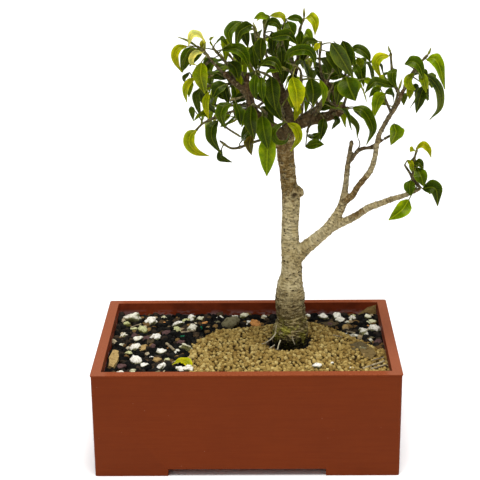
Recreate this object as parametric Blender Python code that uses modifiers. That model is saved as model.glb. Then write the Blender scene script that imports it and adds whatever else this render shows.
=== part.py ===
"""A small ficus bonsai in a rectangular plastic training pot.

Metres, +Z up. The floor under the pot is z = 0, and the origin lies under the middle
of the whole tree and pot. Tables of places are in millimetres from the middle of the
pot's underside: x to the right, y to the back, z up.
"""

import math
import random

import bmesh
import bpy
from mathutils import Matrix, Vector, noise
from mathutils.bvhtree import BVHTree

MM = 0.001
GAP = 0.0003
POT_X = -0.0143

POT_WIDTH = 0.203
POT_DEPTH = 0.152
POT_HEIGHT = 0.0714
POT_WALL = 0.0068
POT_TAPER = 0.0008
RIM_LIP = 0.0005
RIM_BAND = 0.0014
CORNER_ROUND = 0.0016
FLOOR_TOP = 0.0085
FOOT_HEIGHT = 0.0048
FOOT_LENGTH = 0.0495
FOOT_WIDTH = 0.0075
SKIRT_RECESS = 0.0035
DRAIN_RADIUS = 0.0045
DRAIN_PITCH = (0.055, 0.050)
DRAIN_SIDES = 12

# The soil's level and lumps, and the gravel's level, mound and grains.
SOIL_TOP = 0.0605
SOIL_STEP = 0.0110
SOIL_RELIEF = 0.0014
LUMPS_PER_METRE = 90.0
BASIN_FLOOR = 0.0555
GRAVEL_TOP = 0.0618
GRAVEL_STEP = 0.0064
GRAVEL_RELIEF = 0.0011
GRAINS_PER_METRE = 260.0
MOUND_HEIGHT = 0.0026
MOUND_SPREAD = (0.055, 0.045)
PIT_CENTRE = (0.0280, 0.0080)
PIT_RADIUS = 0.0165
PIT_DIP = 0.0028
PIT_DIP_REACH = 0.010
PIT_SIDES = 20
STONE_ROUGHNESS = (0.85, 1.12)
STONE_BREADTH = (0.75, 1.0)
STONE_FLATNESS = 0.75
CHIP_FLATNESS = 0.35
STONE_RISE = 0.12

# Twigs and leaves. Radii are in millimetres, as in the tables.
TWIG_THICK = 1.15
TWIG_THIN = 0.85
BLADE_THICKNESS = 0.0007
PETIOLE_WIDTH = 0.0008
SEAT = 0.0012
ROOT_DEPTH = 0.0005
ROOT_START = 0.0030
ROOT_PITCH = 0.0017
STALK_SHARE = 0.45
LEAF_CLEARANCE = 0.0003
LIMB_CLEARANCE = 0.0005
TWIG_CLEARANCE = 0.0003
PHYLLOTAXY = math.radians(137.5)
FIRST_LEAF = 0.22
LEAF_LENGTH = (18.0, 24.0)
LEAF_WIDTH = (8.0, 10.5)
LEAF_ROLL = (-18.0, 18.0)
LEAF_DROOP = (0.45, 0.75)
LEAF_REACH = 0.62
PETIOLE_LENGTH = (4.5, 7.5)
PETIOLE_LEAN = (0.35, 0.8)
BUD_LENGTH = 8.0
BUD_BREADTH = 2.4

# The trunk and the limbs: points (x, y, z, radius) along each centre line.
TRUNK = [
    (31, 14, 46, 8.0), (31, 14, 54, 9.6), (31, 14, 60, 11.2), (30, 14, 68, 12.3),
    (31, 14, 74, 11.2), (31, 14, 79, 10.2), (30, 14, 87, 10.0), (30, 14, 95, 10.2),
    (30, 14, 103, 9.1), (31, 14, 112, 7.4), (31, 13, 123, 6.9), (30, 13, 134, 6.3),
    (30, 13, 147, 5.9), (30.5, 13, 157, 6.1), (30.5, 13, 168, 6.3), (29, 13, 177, 5.5),
    (28, 13, 187, 5.5), (27, 12, 195, 5.8), (27, 12, 204, 5.7), (29, 13, 214, 4.8),
]
TUBE_CORNER = 1.2
TRUNK_SIDES = 10
TRUNK_RINGS = 27
LIMB_RESOLUTION = 1
HEAVY_RESOLUTION = 2
BARK_RELIEF = 0.00022
BARK_RING_RATE = 900.0
BARK_RING_WANDER = 40.0
BARK_SWELLS_PER_METRE = 110.0
BARK_SWELL_SHARE = 1.6

LIMBS = {
    "branch": [(31, 13, 120, 6.0), (38, 10, 129, 5.0), (47, 6, 138, 4.4), (56, 2, 147, 4.0)],
    "branch_up": [(54, 3, 145, 3.8), (62, 0, 158, 3.2), (66, -2, 168, 2.9)],
    "branch_stub": [(65, -2, 166, 2.7), (67, -1, 178, 2.0), (68, 0, 188, 1.9), (69, 0, 197, 1.6),
                    (71, 0, 209, 1.4)],
    "stub_twig": [(70, 0, 195, 1.5), (76, -2, 203, 1.3), (83, -4, 205, 1.2), (92, -6, 211, 0.9)],
    "branch_top": [(65, -2, 167, 2.7), (71, -3, 171, 2.3), (75, -4, 178, 2.0), (83, -5, 189, 2.0),
                   (86, -6, 199, 1.8), (88, -6, 212, 1.7), (93, -7, 223, 1.6), (96, -7, 228, 1.6),
                   (100, -8, 235, 1.5), (104, -8, 245, 1.3)],
    "branch_low": [(54, 3, 145, 3.5), (61, 0, 150, 3.0), (73, -4, 157, 2.6), (82, -7, 164, 2.4),
                   (91, -9, 168, 2.2), (97, -11, 171, 2.0), (105, -13, 174, 1.7), (116, -14, 179, 1.3)],
    "left_limb": [(28, 12, 205, 5.0), (21, 8, 214, 3.9), (12, 3, 222, 3.4), (5, -1, 230, 3.2),
                  (3, -4, 239, 2.8), (1, -5, 248, 2.2), (2, -4, 255, 1.5)],
    "left_diagonal": [(3, -4, 238, 2.4), (0, -5, 243, 2.2), (-7, -7, 250, 1.9), (-14, -8, 257, 1.5)],
    "pale_stub": [(28, 11, 197, 4.6), (23, 3, 205, 3.2), (19, -3, 210, 2.6)],
    "up_limb": [(27, 12, 203, 5.2), (29, 14, 216, 4.6), (28, 15, 225, 4.0), (25, 16, 233, 3.4),
                (23, 16, 243, 2.7), (21, 14, 253, 2.0), (17, 10, 260, 1.5)],
    "up_limb_right": [(25, 16, 232, 2.9), (30, 17, 240, 2.4), (33, 15, 251, 2.0), (35, 12, 262, 1.5)],
    "right_limb": [(28, 13, 211, 5.0), (35, 10, 218, 4.4), (45, 6, 222, 3.9), (56, 2, 225, 3.3),
                   (63, -2, 229, 2.6), (65, -4, 234, 2.0)],
    "right_up": [(57, 2, 226, 2.7), (60, 2, 233, 2.3), (60, 2, 239, 2.0), (56, 0, 246, 1.7),
                 (51, -1, 250, 1.4)],
    "right_up_outer": [(60, 2, 237, 2.0), (64, 4, 245, 1.6), (67, 5, 251, 1.3)],
    "back_left": [(27, 15, 226, 3.4), (18, 28, 229, 2.6), (8, 40, 231, 2.1), (0, 50, 233, 1.6)],
    "back_right": [(30, 14, 214, 3.6), (40, 26, 219, 2.9), (50, 38, 223, 2.3), (58, 48, 228, 1.7)],
    "back_up": [(24, 16, 238, 2.5), (21, 28, 246, 2.2), (17, 38, 254, 1.7)],
    "knob": [(30, 12, 171, 4.6), (35, 10, 171, 4.3), (38, 9, 172, 3.2)],
    "left_nub": [(25, 13, 95, 2.6), (20, 12, 95.5, 1.3)],
    "trunk_nub": [(32, 11, 112, 2.4), (38.5, 9, 113, 1.1)],
    "root_left": [(29, 14, 56, 6.0), (14, 12, 46, 4.0), (-12, 6, 36, 2.2), (-38, 2, 30, 1.2)],
    "root_right": [(33, 14, 56, 6.0), (46, 10, 46, 4.0), (64, 2, 36, 2.2), (78, -4, 30, 1.2)],
    "root_front": [(31, 12, 56, 6.0), (28, 0, 46, 4.0), (22, -22, 36, 2.2), (16, -44, 30, 1.2)],
    "root_back": [(31, 16, 56, 6.0), (36, 28, 46, 3.8), (40, 44, 36, 2.2), (42, 56, 30, 1.2)],
}
HEAVY_LIMBS = ("branch", "left_limb", "up_limb", "right_limb", "pale_stub", "knob")

# Leafy sprays as they show from the front. Each has its twigs, the first one starting in a
# limb, and its leaves: tone, width, roll in degrees, then points from the blade's base to its tip.
SPRAYS = {
    "spray_left_tip": (
        [[(-14, -8, 256), (-21, -10, 264), (-26, -12, 271), (-31, -13, 275)],
         [(-23, -9, 265), (-29, -9, 259), (-35, -10, 254)]],
        [("olive", 2.4, 20, (-31, -13, 275), (-37, -15, 279), (-44, -17, 282)),
         ("lime", 5.5, 50, (-37, -14, 275), (-42, -17, 275), (-45, -19, 271), (-44, -19, 265),
          (-41, -17, 259)),
         ("pale", 6.5, 40, (-25, -11, 277), (-29, -12, 283), (-34, -14, 283), (-36, -15, 276)),
         ("dark", 10, -35, (-29, -14, 273), (-36, -18, 273), (-40, -20, 267), (-40, -18, 258)),
         ("pale", 4, 50, (-27, -15, 271), (-31, -19, 272), (-34, -21, 269), (-34, -20, 265),
          (-31, -17, 263)),
         ("olive", 11, 0, (-28, -17, 265), (-29, -22, 257), (-26, -19, 245)),
         ("dark", 4, 30, (-36, -9, 257), (-40, -9, 253), (-38, -8, 249)),
         ("lime", 5, 40, (-32, -12, 254), (-37, -14, 251), (-39, -14, 245), (-38, -13, 238))]),
    "spray_left_upper": (
        [[(-6, -7, 249), (-10, 1, 258), (-17, 0, 267), (-21, -2, 272)]],
        [("olive", 4, 20, (-21, -2, 273), (-23, -4, 277), (-20, -7, 280)),
         ("mid", 4.5, 30, (-19, -3, 275), (-15, -5, 279), (-11, -7, 274)),
         ("mid", 9, 30, (-15, -5, 271), (-6, -9, 273), (0, -11, 269), (3, -10, 260)),
         ("dark", 9, 20, (-10, -4, 263), (-6, -9, 260), (-4, -9, 252))]),
    "spray_top_left": (
        [[(19, 12, 256), (11, 6, 261), (8, 1, 274), (6, -2, 286)]],
        [("mid", 7, 45, (-2, -2, 289), (-6, -4, 288), (-10, -6, 284), (-10, -7, 280), (-8, -6, 274)),
         ("dark", 7.5, 35, (5, -3, 287), (2, -7, 287), (-3, -9, 284), (-5, -8, 277)),
         ("dark", 9, 10, (11, -3, 278), (10, -6, 272), (11, -5, 263))]),
    "spray_top_middle": (
        [[(17, 10, 260), (14, 5, 266), (13, 3, 275), (13, 2, 288)]],
        [("lime", 3.5, 10, (15, 0, 290), (11, -3, 292), (8, -6, 290)),
         ("olive", 5.5, 45, (17, 2, 292), (21, 1, 293), (25, 0, 292), (26, -1, 288)),
         ("dark", 6, 40, (14, 2, 287), (17, -1, 289), (21, -3, 288), (24, -3, 283)),
         ("dark", 9, 25, (17, -8, 279), (23, -13, 282), (29, -16, 282), (34, -16, 276))]),
    "spray_top_centre": (
        [[(34, 13, 257), (29, 8, 263), (25, 6, 272), (25, 4, 282), (27, 3, 290)]],
        [("mid", 5, 45, (28, 2, 290), (32, 0, 291), (36, -1, 290), (37, -1, 286)),
         ("mid", 9, 5, (28, -3, 289), (30, -7, 285), (32, -6, 279)),
         ("mid", 8, 20, (26, 6, 278), (21, 8, 274), (18, 9, 267))]),
    "spray_top_right": (
        [[(35, 12, 262), (35, 9, 271), (36, 6, 281), (39, 5, 290)]],
        [("lime", 2.4, 0, (39, 5, 290), (39, 5, 294), (39, 5, 297)),
         ("lime", 7, 40, (40, 4, 290), (43, 2, 292), (46, 0, 288), (46, 0, 280)),
         ("mid", 6, 10, (37, 2, 282), (36, 0, 277), (37, 0, 271))]),
    "spray_centre_front": (
        [[(37, 9, 219), (38, -4, 236), (37, -10, 249), (36, -14, 259), (31, -16, 263)]],
        [("mid", 7, 45, (27, -15, 264), (29, -19, 271), (36, -23, 274), (42, -23, 273),
          (45, -21, 268), (45, -19, 261)),
         ("lime", 12, 0, (31, -22, 256), (34, -27, 247), (34, -25, 234)),
         ("dark", 12, 0, (43, -16, 254), (45, -21, 246), (44, -19, 237)),
         ("bright", 5, 15, (49, -12, 252), (52, -15, 245), (51, -14, 235))]),
    "spray_centre_left": (
        [[(24, 16, 238), (20, 2, 248), (14, -7, 255), (7, -10, 258)]],
        [("dark", 11, 0, (17, -14, 255), (18, -19, 246), (20, -17, 233)),
         ("mid", 7, 10, (7, -13, 256), (6, -16, 249), (7, -15, 240)),
         ("mid", 6, 20, (11, -16, 255), (11, -19, 248), (12, -18, 240)),
         ("dark", 7, 30, (9, -10, 261), (15, -15, 266), (21, -18, 264), (24, -18, 257)),
         ("dark", 10, 10, (14, -6, 246), (18, -9, 237), (24, -7, 225))]),
    "spray_centre_low": (
        [[(12, 3, 222), (14, -6, 228), (12, -12, 232), (5, -14, 237)]],
        [("dark", 11, 0, (4, -15, 236), (3, -20, 227), (6, -18, 214)),
         ("mid", 11, 0, (11, -16, 229), (12, -22, 220), (15, -20, 207)),
         ("brown", 8, 0, (4, -11, 215), (2, -14, 210), (4, -12, 202)),
         ("bright", 12, 0, (15, -17, 216), (14, -23, 204), (14, -21, 188))]),
    "spray_left_middle": (
        [[(2, -4, 241), (-3, -9, 240), (-10, -12, 239)]],
        [("mid", 8.5, 30, (-9, -13, 237), (-14, -17, 236), (-16, -19, 230), (-13, -17, 221)),
         ("dark", 9, 20, (-12, -11, 250), (-18, -15, 248), (-21, -14, 241)),
         ("dark", 9, -20, (-6, -14, 238), (-3, -19, 233), (-3, -18, 224))]),
    "spray_left_edge": (
        [[(-6, -7, 249), (-14, -4, 248), (-22, -7, 248), (-29, -10, 246)]],
        [("dark", 5, 45, (-29, -11, 246), (-32, -14, 243), (-31, -14, 236), (-29, -13, 228)),
         ("grey", 6, 45, (-29, -11, 245), (-27, -15, 239), (-23, -16, 233), (-17, -14, 227)),
         ("lime", 5, 30, (-24, -10, 244), (-26, -13, 237), (-24, -13, 227))]),
    "spray_left_low": (
        [[(5, -1, 230), (-3, -4, 231), (-13, -7, 229), (-19, -8, 227), (-28, -10, 223),
          (-33, -11, 218)]],
        [("lime", 8, 50, (-32, -12, 219), (-36, -15, 217), (-37, -17, 211), (-32, -16, 205),
          (-24, -14, 202)),
         ("pale", 4.5, 10, (-22, -9, 225), (-25, -11, 223), (-26, -10, 218)),
         ("dark", 8.5, 30, (-18, -10, 225), (-22, -14, 222), (-22, -15, 214), (-16, -13, 204)),
         ("olive", 4, 35, (-23, -9, 226), (-28, -12, 230), (-34, -13, 225))]),
    "spray_low_left": (
        [[(19, -3, 210), (10, -3, 210), (-2, -4, 206), (-7, -5, 205), (-11, -6, 206), (-17, -8, 211)]],
        [("dark", 6, 45, (-16, -8, 205), (-17, -10, 200), (-9, -11, 197)),
         ("dark", 5, 30, (-4, -4, 208), (1, -7, 216), (4, -9, 215))]),
    "spray_trunk_top": (
        [[(27, 13, 221), (24, 2, 231), (23, -7, 231), (26, -10, 224)]],
        [("lime", 6, 45, (28, -11, 223), (33, -15, 221), (35, -16, 214), (30, -14, 205)),
         ("mid", 4.5, 50, (26, -12, 224), (21, -16, 222), (18, -18, 218), (21, -18, 212),
          (27, -16, 212), (29, -14, 217))]),
    "spray_right_inner": (
        [[(52, -1, 249), (50, -2, 255), (49, -3, 264), (50, -4, 276)]],
        [("dark", 6, 40, (48, -4, 276), (41, -7, 277), (37, -8, 272)),
         ("lime", 4, 20, (49, -5, 275), (47, -6, 273), (45, -6, 270)),
         ("grey", 11, 20, (56, -11, 276), (62, -17, 267), (70, -15, 254)),
         ("dark", 8, 30, (53, -8, 270), (59, -12, 264), (63, -10, 253))]),
    "spray_right_middle": (
        [[(66, 5, 249), (67, 3, 258), (68, 2, 268)]],
        [("dark", 9, 15, (64, -3, 276), (67, -6, 268), (69, -5, 257)),
         ("dark", 7, 35, (69, 2, 269), (74, -1, 271), (80, -3, 267), (82, -3, 262)),
         ("olive", 5, 10, (74, 2, 264), (76, 0, 261), (77, 1, 257))]),
    "spray_right_front": (
        [[(65, -4, 233), (67, -7, 243), (65, -10, 251)]],
        [("mid", 15, 10, (66, -12, 254), (68, -18, 248), (72, -17, 239)),
         ("bright", 4.5, 15, (78, -4, 251), (81, -6, 250), (85, -7, 248)),
         ("dark", 9, 20, (64, -10, 249), (62, -15, 245), (60, -14, 236))]),
    "spray_right_low": (
        [[(46, 6, 222), (42, -1, 218), (41, -4, 215)]],
        [("dark", 9, 20, (41, -6, 213), (45, -10, 213), (49, -12, 217))]),
    "spray_right_under": (
        [[(57, 2, 226), (59, -5, 228)]],
        [("dark", 6, 20, (59, -6, 227), (61, -8, 224), (57, -8, 218))]),
    "spray_right_end": (
        [[(63, -2, 230), (67, -5, 232), (68, -6, 231)]],
        [("mid", 8.5, 35, (71, -7, 232), (77, -10, 232), (82, -12, 226), (84, -12, 218),
          (80, -10, 208)),
         ("grey", 4, 45, (67, -5, 228), (70, -7, 225), (74, -8, 220), (74, -7, 212))]),
    "spray_heart": (
        [[(92, -6, 211), (95, -7, 213), (98, -8, 215)]],
        [("bright", 12, 10, (98, -9, 222), (100, -13, 217), (96, -11, 208))]),
    "spray_lobe_top": (
        [[(102, -8, 239), (98, -7, 248), (96, -7, 259), (95, -8, 269)]],
        [("olive", 2.4, 30, (95, -8, 269), (94, -9, 271), (93, -9, 274)),
         ("lime", 7, 45, (94, -9, 267), (88, -11, 267), (85, -12, 262), (89, -11, 252)),
         ("mid", 6.5, 25, (99, -10, 258), (96, -14, 257), (96, -15, 252), (99, -14, 247)),
         ("dark", 7, 45, (98, -13, 247), (92, -19, 250), (85, -22, 252), (81, -23, 249),
          (78, -22, 244)),
         ("mid", 5, 10, (95, -5, 255), (91, -4, 254), (93, -4, 249))]),
    "spray_lobe_right": (
        [[(104, -8, 245), (107, -9, 252), (114, -10, 262), (119, -11, 268)]],
        [("lime", 2.4, 0, (119, -11, 268), (120, -11, 270), (121, -11, 273)),
         ("mid", 8.5, 30, (104, -11, 262), (108, -15, 265), (113, -17, 262), (116, -16, 253)),
         ("bright", 9, 25, (118, -12, 265), (122, -16, 267), (126, -18, 262), (130, -16, 246)),
         ("grey", 6.5, 40, (117, -10, 254), (122, -13, 252), (127, -15, 244), (127, -14, 233),
          (121, -12, 225)),
         ("pale", 5, 10, (116, -9, 255), (118, -11, 250), (120, -11, 245)),
         ("olive", 6, 45, (110, -12, 256), (106, -15, 253), (107, -16, 248), (111, -16, 246)),
         ("olive", 5, 10, (109, -7, 249), (108, -8, 243), (108, -7, 238)),
         ("dark", 8.5, 35, (110, -4, 243), (113, -7, 244), (114, -8, 238), (109, -7, 230))]),
    "spray_lobe_middle": (
        [[(96, -7, 229), (93, -9, 236), (91, -10, 241)]],
        [("bright", 8, 35, (92, -10, 242), (88, -13, 241), (86, -14, 236), (85, -13, 228)),
         ("mid", 6.5, 30, (92, -9, 242), (96, -11, 243), (98, -12, 240), (98, -11, 235))]),
    "spray_low_right": (
        [[(116, -14, 179), (111, -14, 186), (111, -14, 193), (111, -14, 198), (113, -15, 206)],
         [(111, -14, 186), (105, -12, 195)]],
        [("lime", 5, 40, (112, -15, 206), (116, -18, 210), (120, -19, 207), (122, -18, 201)),
         ("olive", 5, 20, (112, -15, 205), (110, -17, 207), (108, -18, 205)),
         ("bright", 6, 10, (111, -13, 200), (111, -15, 194), (112, -14, 188)),
         ("dark", 6, 30, (111, -16, 197), (114, -19, 198), (117, -20, 194)),
         ("mid", 9, 10, (113, -16, 194), (115, -20, 190), (117, -19, 183)),
         ("mid", 8, 10, (109, -15, 185), (108, -18, 181), (109, -17, 175)),
         ("bright", 10, 20, (108, -16, 172.5), (103, -21, 168.5), (94, -21, 161.5)),
         ("dark", 10.5, 25, (117, -16, 179), (122, -19, 181), (126, -21, 178), (127, -19, 167))]),
}

# Leafy sprays inside and behind the crown: a twig that starts in a limb, and its number of leaves.
LEAFY_TWIGS = {
    "spray_back_left": ([(8, 40, 231), (-4, 42, 238), (-14, 40, 246)], 5),
    "spray_back_left_end": ([(0, 50, 233), (-8, 55, 242), (-14, 57, 252)], 4),
    "spray_back_left_low": ([(14, 32, 230), (4, 34, 222), (-6, 36, 216)], 4),
    "spray_back_top": ([(17, 38, 254), (12, 44, 264), (8, 47, 274)], 5),
    "spray_back_top_right": ([(21, 28, 246), (30, 34, 256), (36, 38, 268)], 4),
    "spray_back_right_end": ([(58, 48, 228), (66, 51, 238), (72, 52, 250)], 5),
    "spray_back_right": ([(50, 38, 223), (46, 46, 236), (44, 49, 250)], 5),
    "spray_back_right_low": ([(42, 28, 220), (48, 27, 226), (54, 28, 233)], 3),
    "spray_top_back": ([(21, 14, 253), (22, 22, 264), (22, 24, 277)], 5),
    "spray_top_back_right": ([(34, 13, 258), (41, 20, 261), (46, 23, 266)], 3),
    "spray_left_back": ([(1, -5, 249), (-5, 9, 258), (-12, 15, 266)], 5),
    "spray_left_side": ([(-9, -7, 252), (-17, 5, 252), (-27, 11, 250)], 4),
    "spray_left_under": ([(4, -2, 234), (-8, 10, 231), (-20, 15, 230)], 4),
    "spray_right_back": ([(67, 5, 250), (71, 14, 252), (74, 20, 256)], 4),
    "spray_right_top": ([(54, 0, 248), (58, 12, 252), (60, 20, 258)], 3),
    "spray_lobe_back": ([(100, -8, 235), (106, 3, 243), (112, 9, 251)], 4),
    "spray_lobe_inner": ([(94, -7, 225), (99, 1, 233), (102, 5, 242)], 4),
    "spray_centre": ([(44, 7, 222), (49, -2, 230), (53, -4, 238)], 3),
    "spray_middle": ([(33, 15, 251), (31, 4, 254), (27, -5, 258)], 4),
}

TONES = {
    "dark": (0.012, 0.045, 0.006),
    "mid": (0.030, 0.100, 0.008),
    "bright": (0.110, 0.230, 0.012),
    "olive": (0.100, 0.130, 0.012),
    "lime": (0.330, 0.420, 0.030),
    "pale": (0.560, 0.570, 0.110),
    "grey": (0.060, 0.090, 0.050),
    "brown": (0.090, 0.060, 0.020),
}

# Where the tan gravel ends on the darker soil, seen from above.
GRAVEL_EDGE = [
    (-36, -80), (-39, -42), (-41, -14), (-37, 12), (-22, 35), (2, 40), (17, 46), (44, 54),
    (61, 37), (73, 23), (82, 9), (92, -6), (104, -12), (104, -80),
]

# White pumice and bark on the soil: x, y and size.
WHITE_STONES = [
    (-83, 61, 8), (-66, 50, 7), (-84, 46, 6), (-74, 37, 7), (-62, 16, 7), (-84, 22, 6),
    (-48, 60, 6), (-36, 30, 6), (-2, 61, 6), (-72, -8, 7), (-68, -30, 6), (-54, -36, 7),
    (54, 60, 7), (64, 61, 7), (88, 46, 6), (88, 30, 8), (76, 41, 6), (-78, 4, 6),
]
BARK_CHIPS = [(-20, 44, 16), (83, 58, 13), (-86, -22, 12)]


def spot(point):
    """A place in the tables as a vector in metres."""
    return Vector((point[0] * MM + POT_X, point[1] * MM, point[2] * MM))


def add_collection(name, shown=True):
    """A new collection in the scene, hidden from renders if it isn't shown."""
    made = bpy.data.collections.new(name)
    bpy.context.scene.collection.children.link(made)
    made.hide_render = not shown
    return made


def add_object(name, mesh, collection):
    """A new object with the mesh, in the collection."""
    made = bpy.data.objects.new(name, mesh)
    collection.objects.link(made)
    return made


def as_helper(obj):
    """The object, shown as a wire and left out of renders."""
    obj.hide_render = True
    obj.display_type = "WIRE"
    return obj


def give_material(obj, name, colour, roughness):
    """A plain material of its own for the object."""
    made = bpy.data.materials.new(name)
    made.use_nodes = True
    shader = made.node_tree.nodes["Principled BSDF"]
    shader.inputs["Base Color"].default_value = (*colour, 1.0)
    shader.inputs["Roughness"].default_value = roughness
    made.diffuse_color = (*colour, 1.0)
    obj.data.materials.clear()
    obj.data.materials.append(made)


def evaluated_mesh(obj):
    """The object's mesh with its modifiers, or its curve as a mesh."""
    bpy.context.view_layer.update()
    graph = bpy.context.evaluated_depsgraph_get()
    return bpy.data.meshes.new_from_object(obj.evaluated_get(graph))


def mesh_from(name, bm):
    """A mesh made from an edit mesh, which is freed."""
    mesh = bpy.data.meshes.new(name)
    bm.to_mesh(mesh)
    bm.free()
    return mesh


def block_mesh(name, size, centre, edge_round=0.0, bottom_inset=0.0):
    """A box whose upright edges may be rounded and whose foot may be drawn in."""
    bm = bmesh.new()
    bmesh.ops.create_cube(bm, size=1.0)
    for vert in bm.verts:
        inset = bottom_inset if vert.co.z < 0 else 0.0
        x = math.copysign(size[0] / 2 - inset, vert.co.x)
        y = math.copysign(size[1] / 2 - inset, vert.co.y)
        vert.co = Vector((x, y, vert.co.z * size[2])) + Vector(centre)
    if edge_round:
        upright = [edge for edge in bm.edges if abs((edge.verts[0].co - edge.verts[1].co).z) > size[2] / 2]
        bmesh.ops.bevel(bm, geom=upright, offset=edge_round, segments=2, profile=0.5, affect="EDGES")
    return mesh_from(name, bm)


def boolean(obj, operation, other=None, collection=None, solver="EXACT"):
    """A Boolean modifier with one object or a whole collection."""
    modifier = obj.modifiers.new(operation.lower(), "BOOLEAN")
    modifier.operation = operation
    modifier.solver = solver
    if collection:
        modifier.operand_type = "COLLECTION"
        modifier.collection = collection
    else:
        modifier.object = other
    return modifier


def apply_modifiers(obj):
    """Makes the object's modifiers its plain mesh."""
    mesh = evaluated_mesh(obj)
    old = obj.data
    obj.modifiers.clear()
    obj.data = mesh
    bpy.data.meshes.remove(old)


def empty_collection(collection):
    """Removes the objects whose shapes have been joined to another."""
    for obj in list(collection.objects):
        bpy.data.objects.remove(obj)


def smooth_path(points, steps):
    """Points on a Catmull-Rom curve through the given ones, with any radius carried along."""
    rows = [Vector(p) for p in points]
    rows = [rows[0] * 2 - rows[1]] + rows + [rows[-1] * 2 - rows[-2]]
    path = []
    last = len(rows) - 3
    for step in range(steps + 1):
        place = step * last / steps
        first = min(int(place), last - 1)
        t = place - first
        a, b, c, d = rows[first:first + 4]
        path.append(0.5 * (2 * b + (c - a) * t + (2 * a - 5 * b + 4 * c - d) * t * t
                           + (3 * b - a - 3 * c + d) * t ** 3))
    return path


def tube_mesh(name, path, resolution):
    """A closed tube along points (x, y, z, radius in millimetres)."""
    curve = bpy.data.curves.new(name, "CURVE")
    curve.dimensions = "3D"
    curve.bevel_depth = MM
    curve.bevel_resolution = resolution
    curve.use_fill_caps = True
    spline = curve.splines.new("POLY")
    spline.points.add(len(path) - 1)
    for point, row in zip(spline.points, path):
        point.co = (*spot(row), 1.0)
        point.radius = row[3]
    guide = bpy.data.objects.new(name, curve)
    bpy.context.scene.collection.objects.link(guide)
    mesh = evaluated_mesh(guide)
    bpy.data.objects.remove(guide)
    bpy.data.curves.remove(curve)
    bm = bmesh.new()
    bm.from_mesh(mesh)
    bmesh.ops.remove_doubles(bm, verts=bm.verts, dist=1e-6)
    bmesh.ops.recalc_face_normals(bm, faces=bm.faces)
    bm.to_mesh(mesh)
    bm.free()
    return mesh


def bark_relief(mesh):
    """Low rings and swellings on the trunk."""
    for vert in mesh.vertices:
        ring = math.sin(vert.co.z * BARK_RING_RATE + 2.0 * noise.noise(vert.co * BARK_RING_WANDER))
        swell = noise.noise(vert.co * BARK_SWELLS_PER_METRE)
        vert.co += vert.normal * BARK_RELIEF * (ring + BARK_SWELL_SHARE * swell)


def build_wood(parts, work):
    """The trunk, its roots and every limb, grown together as one piece."""
    trunk = tube_mesh("trunk", smooth_path(TRUNK, TRUNK_RINGS), TRUNK_SIDES // 2 - 2)
    bark_relief(trunk)
    wood = add_object("trunk_and_limbs", trunk, parts)
    for name, points in LIMBS.items():
        resolution = HEAVY_RESOLUTION if name in HEAVY_LIMBS else LIMB_RESOLUTION
        add_object(name, tube_mesh(name, points, resolution), work)
    boolean(wood, "UNION", collection=work)
    apply_modifiers(wood)
    empty_collection(work)
    wood.data.shade_smooth()
    return wood


def swollen_copy(obj, grow, work):
    """A copy grown outwards, which cuts its neighbours clear of the original."""
    copy = add_object(obj.name + "_clearance", obj.data.copy(), work)
    swell = copy.modifiers.new("grow", "DISPLACE")
    swell.strength = grow
    swell.mid_level = 0.0
    apply_modifiers(copy)
    return as_helper(copy)


def build_pot(parts, cutters):
    """The moulded pot: rim band, walls, raised floor with drain holes, and corner feet."""
    middle = (POT_X, 0.0)
    body_size = (POT_WIDTH - 2 * RIM_LIP, POT_DEPTH - 2 * RIM_LIP, POT_HEIGHT - RIM_BAND / 2)
    body = block_mesh("pot", body_size, (*middle, body_size[2] / 2), CORNER_ROUND, POT_TAPER)
    pot = add_object("pot", body, parts)
    rim_mesh = block_mesh("rim_band", (POT_WIDTH, POT_DEPTH, RIM_BAND),
                          (*middle, POT_HEIGHT - RIM_BAND / 2), CORNER_ROUND)
    bm = bmesh.new()
    bm.from_mesh(rim_mesh)
    flat = [e for e in bm.edges if abs((e.verts[0].co - e.verts[1].co).z) < 1e-6]
    bmesh.ops.bevel(bm, geom=flat, offset=0.0004, segments=1, affect="EDGES")
    bm.to_mesh(rim_mesh)
    bm.free()
    rim = as_helper(add_object("rim_band", rim_mesh, cutters))
    boolean(pot, "UNION", rim)
    inner = (POT_WIDTH - 2 * POT_WALL, POT_DEPTH - 2 * POT_WALL)
    cut_boxes = {
        "cavity": ((*inner, POT_HEIGHT), FLOOR_TOP + POT_HEIGHT / 2, 0.0),
        "underside": ((POT_WIDTH - 2 * FOOT_WIDTH, POT_DEPTH - 2 * FOOT_WIDTH, 2 * SKIRT_RECESS), 0.0, 0.0),
        "front_and_back_notch": ((POT_WIDTH - 2 * FOOT_LENGTH, POT_DEPTH * 2, 2 * FOOT_HEIGHT), 0.0, 0.0),
        "side_notches": ((POT_WIDTH * 2, POT_DEPTH - 2 * FOOT_LENGTH, 2 * FOOT_HEIGHT), 0.0, 0.0),
    }
    for name, (size, height, edge_round) in cut_boxes.items():
        mesh = block_mesh(name, size, (*middle, height), edge_round)
        cutter = as_helper(add_object(name, mesh, cutters))
        boolean(pot, "DIFFERENCE", cutter)
    for column in (-1, 0, 1):
        for row in (-0.5, 0.5):
            bm = bmesh.new()
            place = Matrix.Translation((POT_X + column * DRAIN_PITCH[0], row * DRAIN_PITCH[1], 0.0))
            bmesh.ops.create_cone(bm, cap_ends=True, segments=DRAIN_SIDES, radius1=DRAIN_RADIUS,
                                  radius2=DRAIN_RADIUS, depth=4 * FLOOR_TOP, matrix=place)
            hole = as_helper(add_object("drain_hole", mesh_from("drain_hole", bm), cutters))
            boolean(pot, "DIFFERENCE", hole)
    return pot


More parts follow.
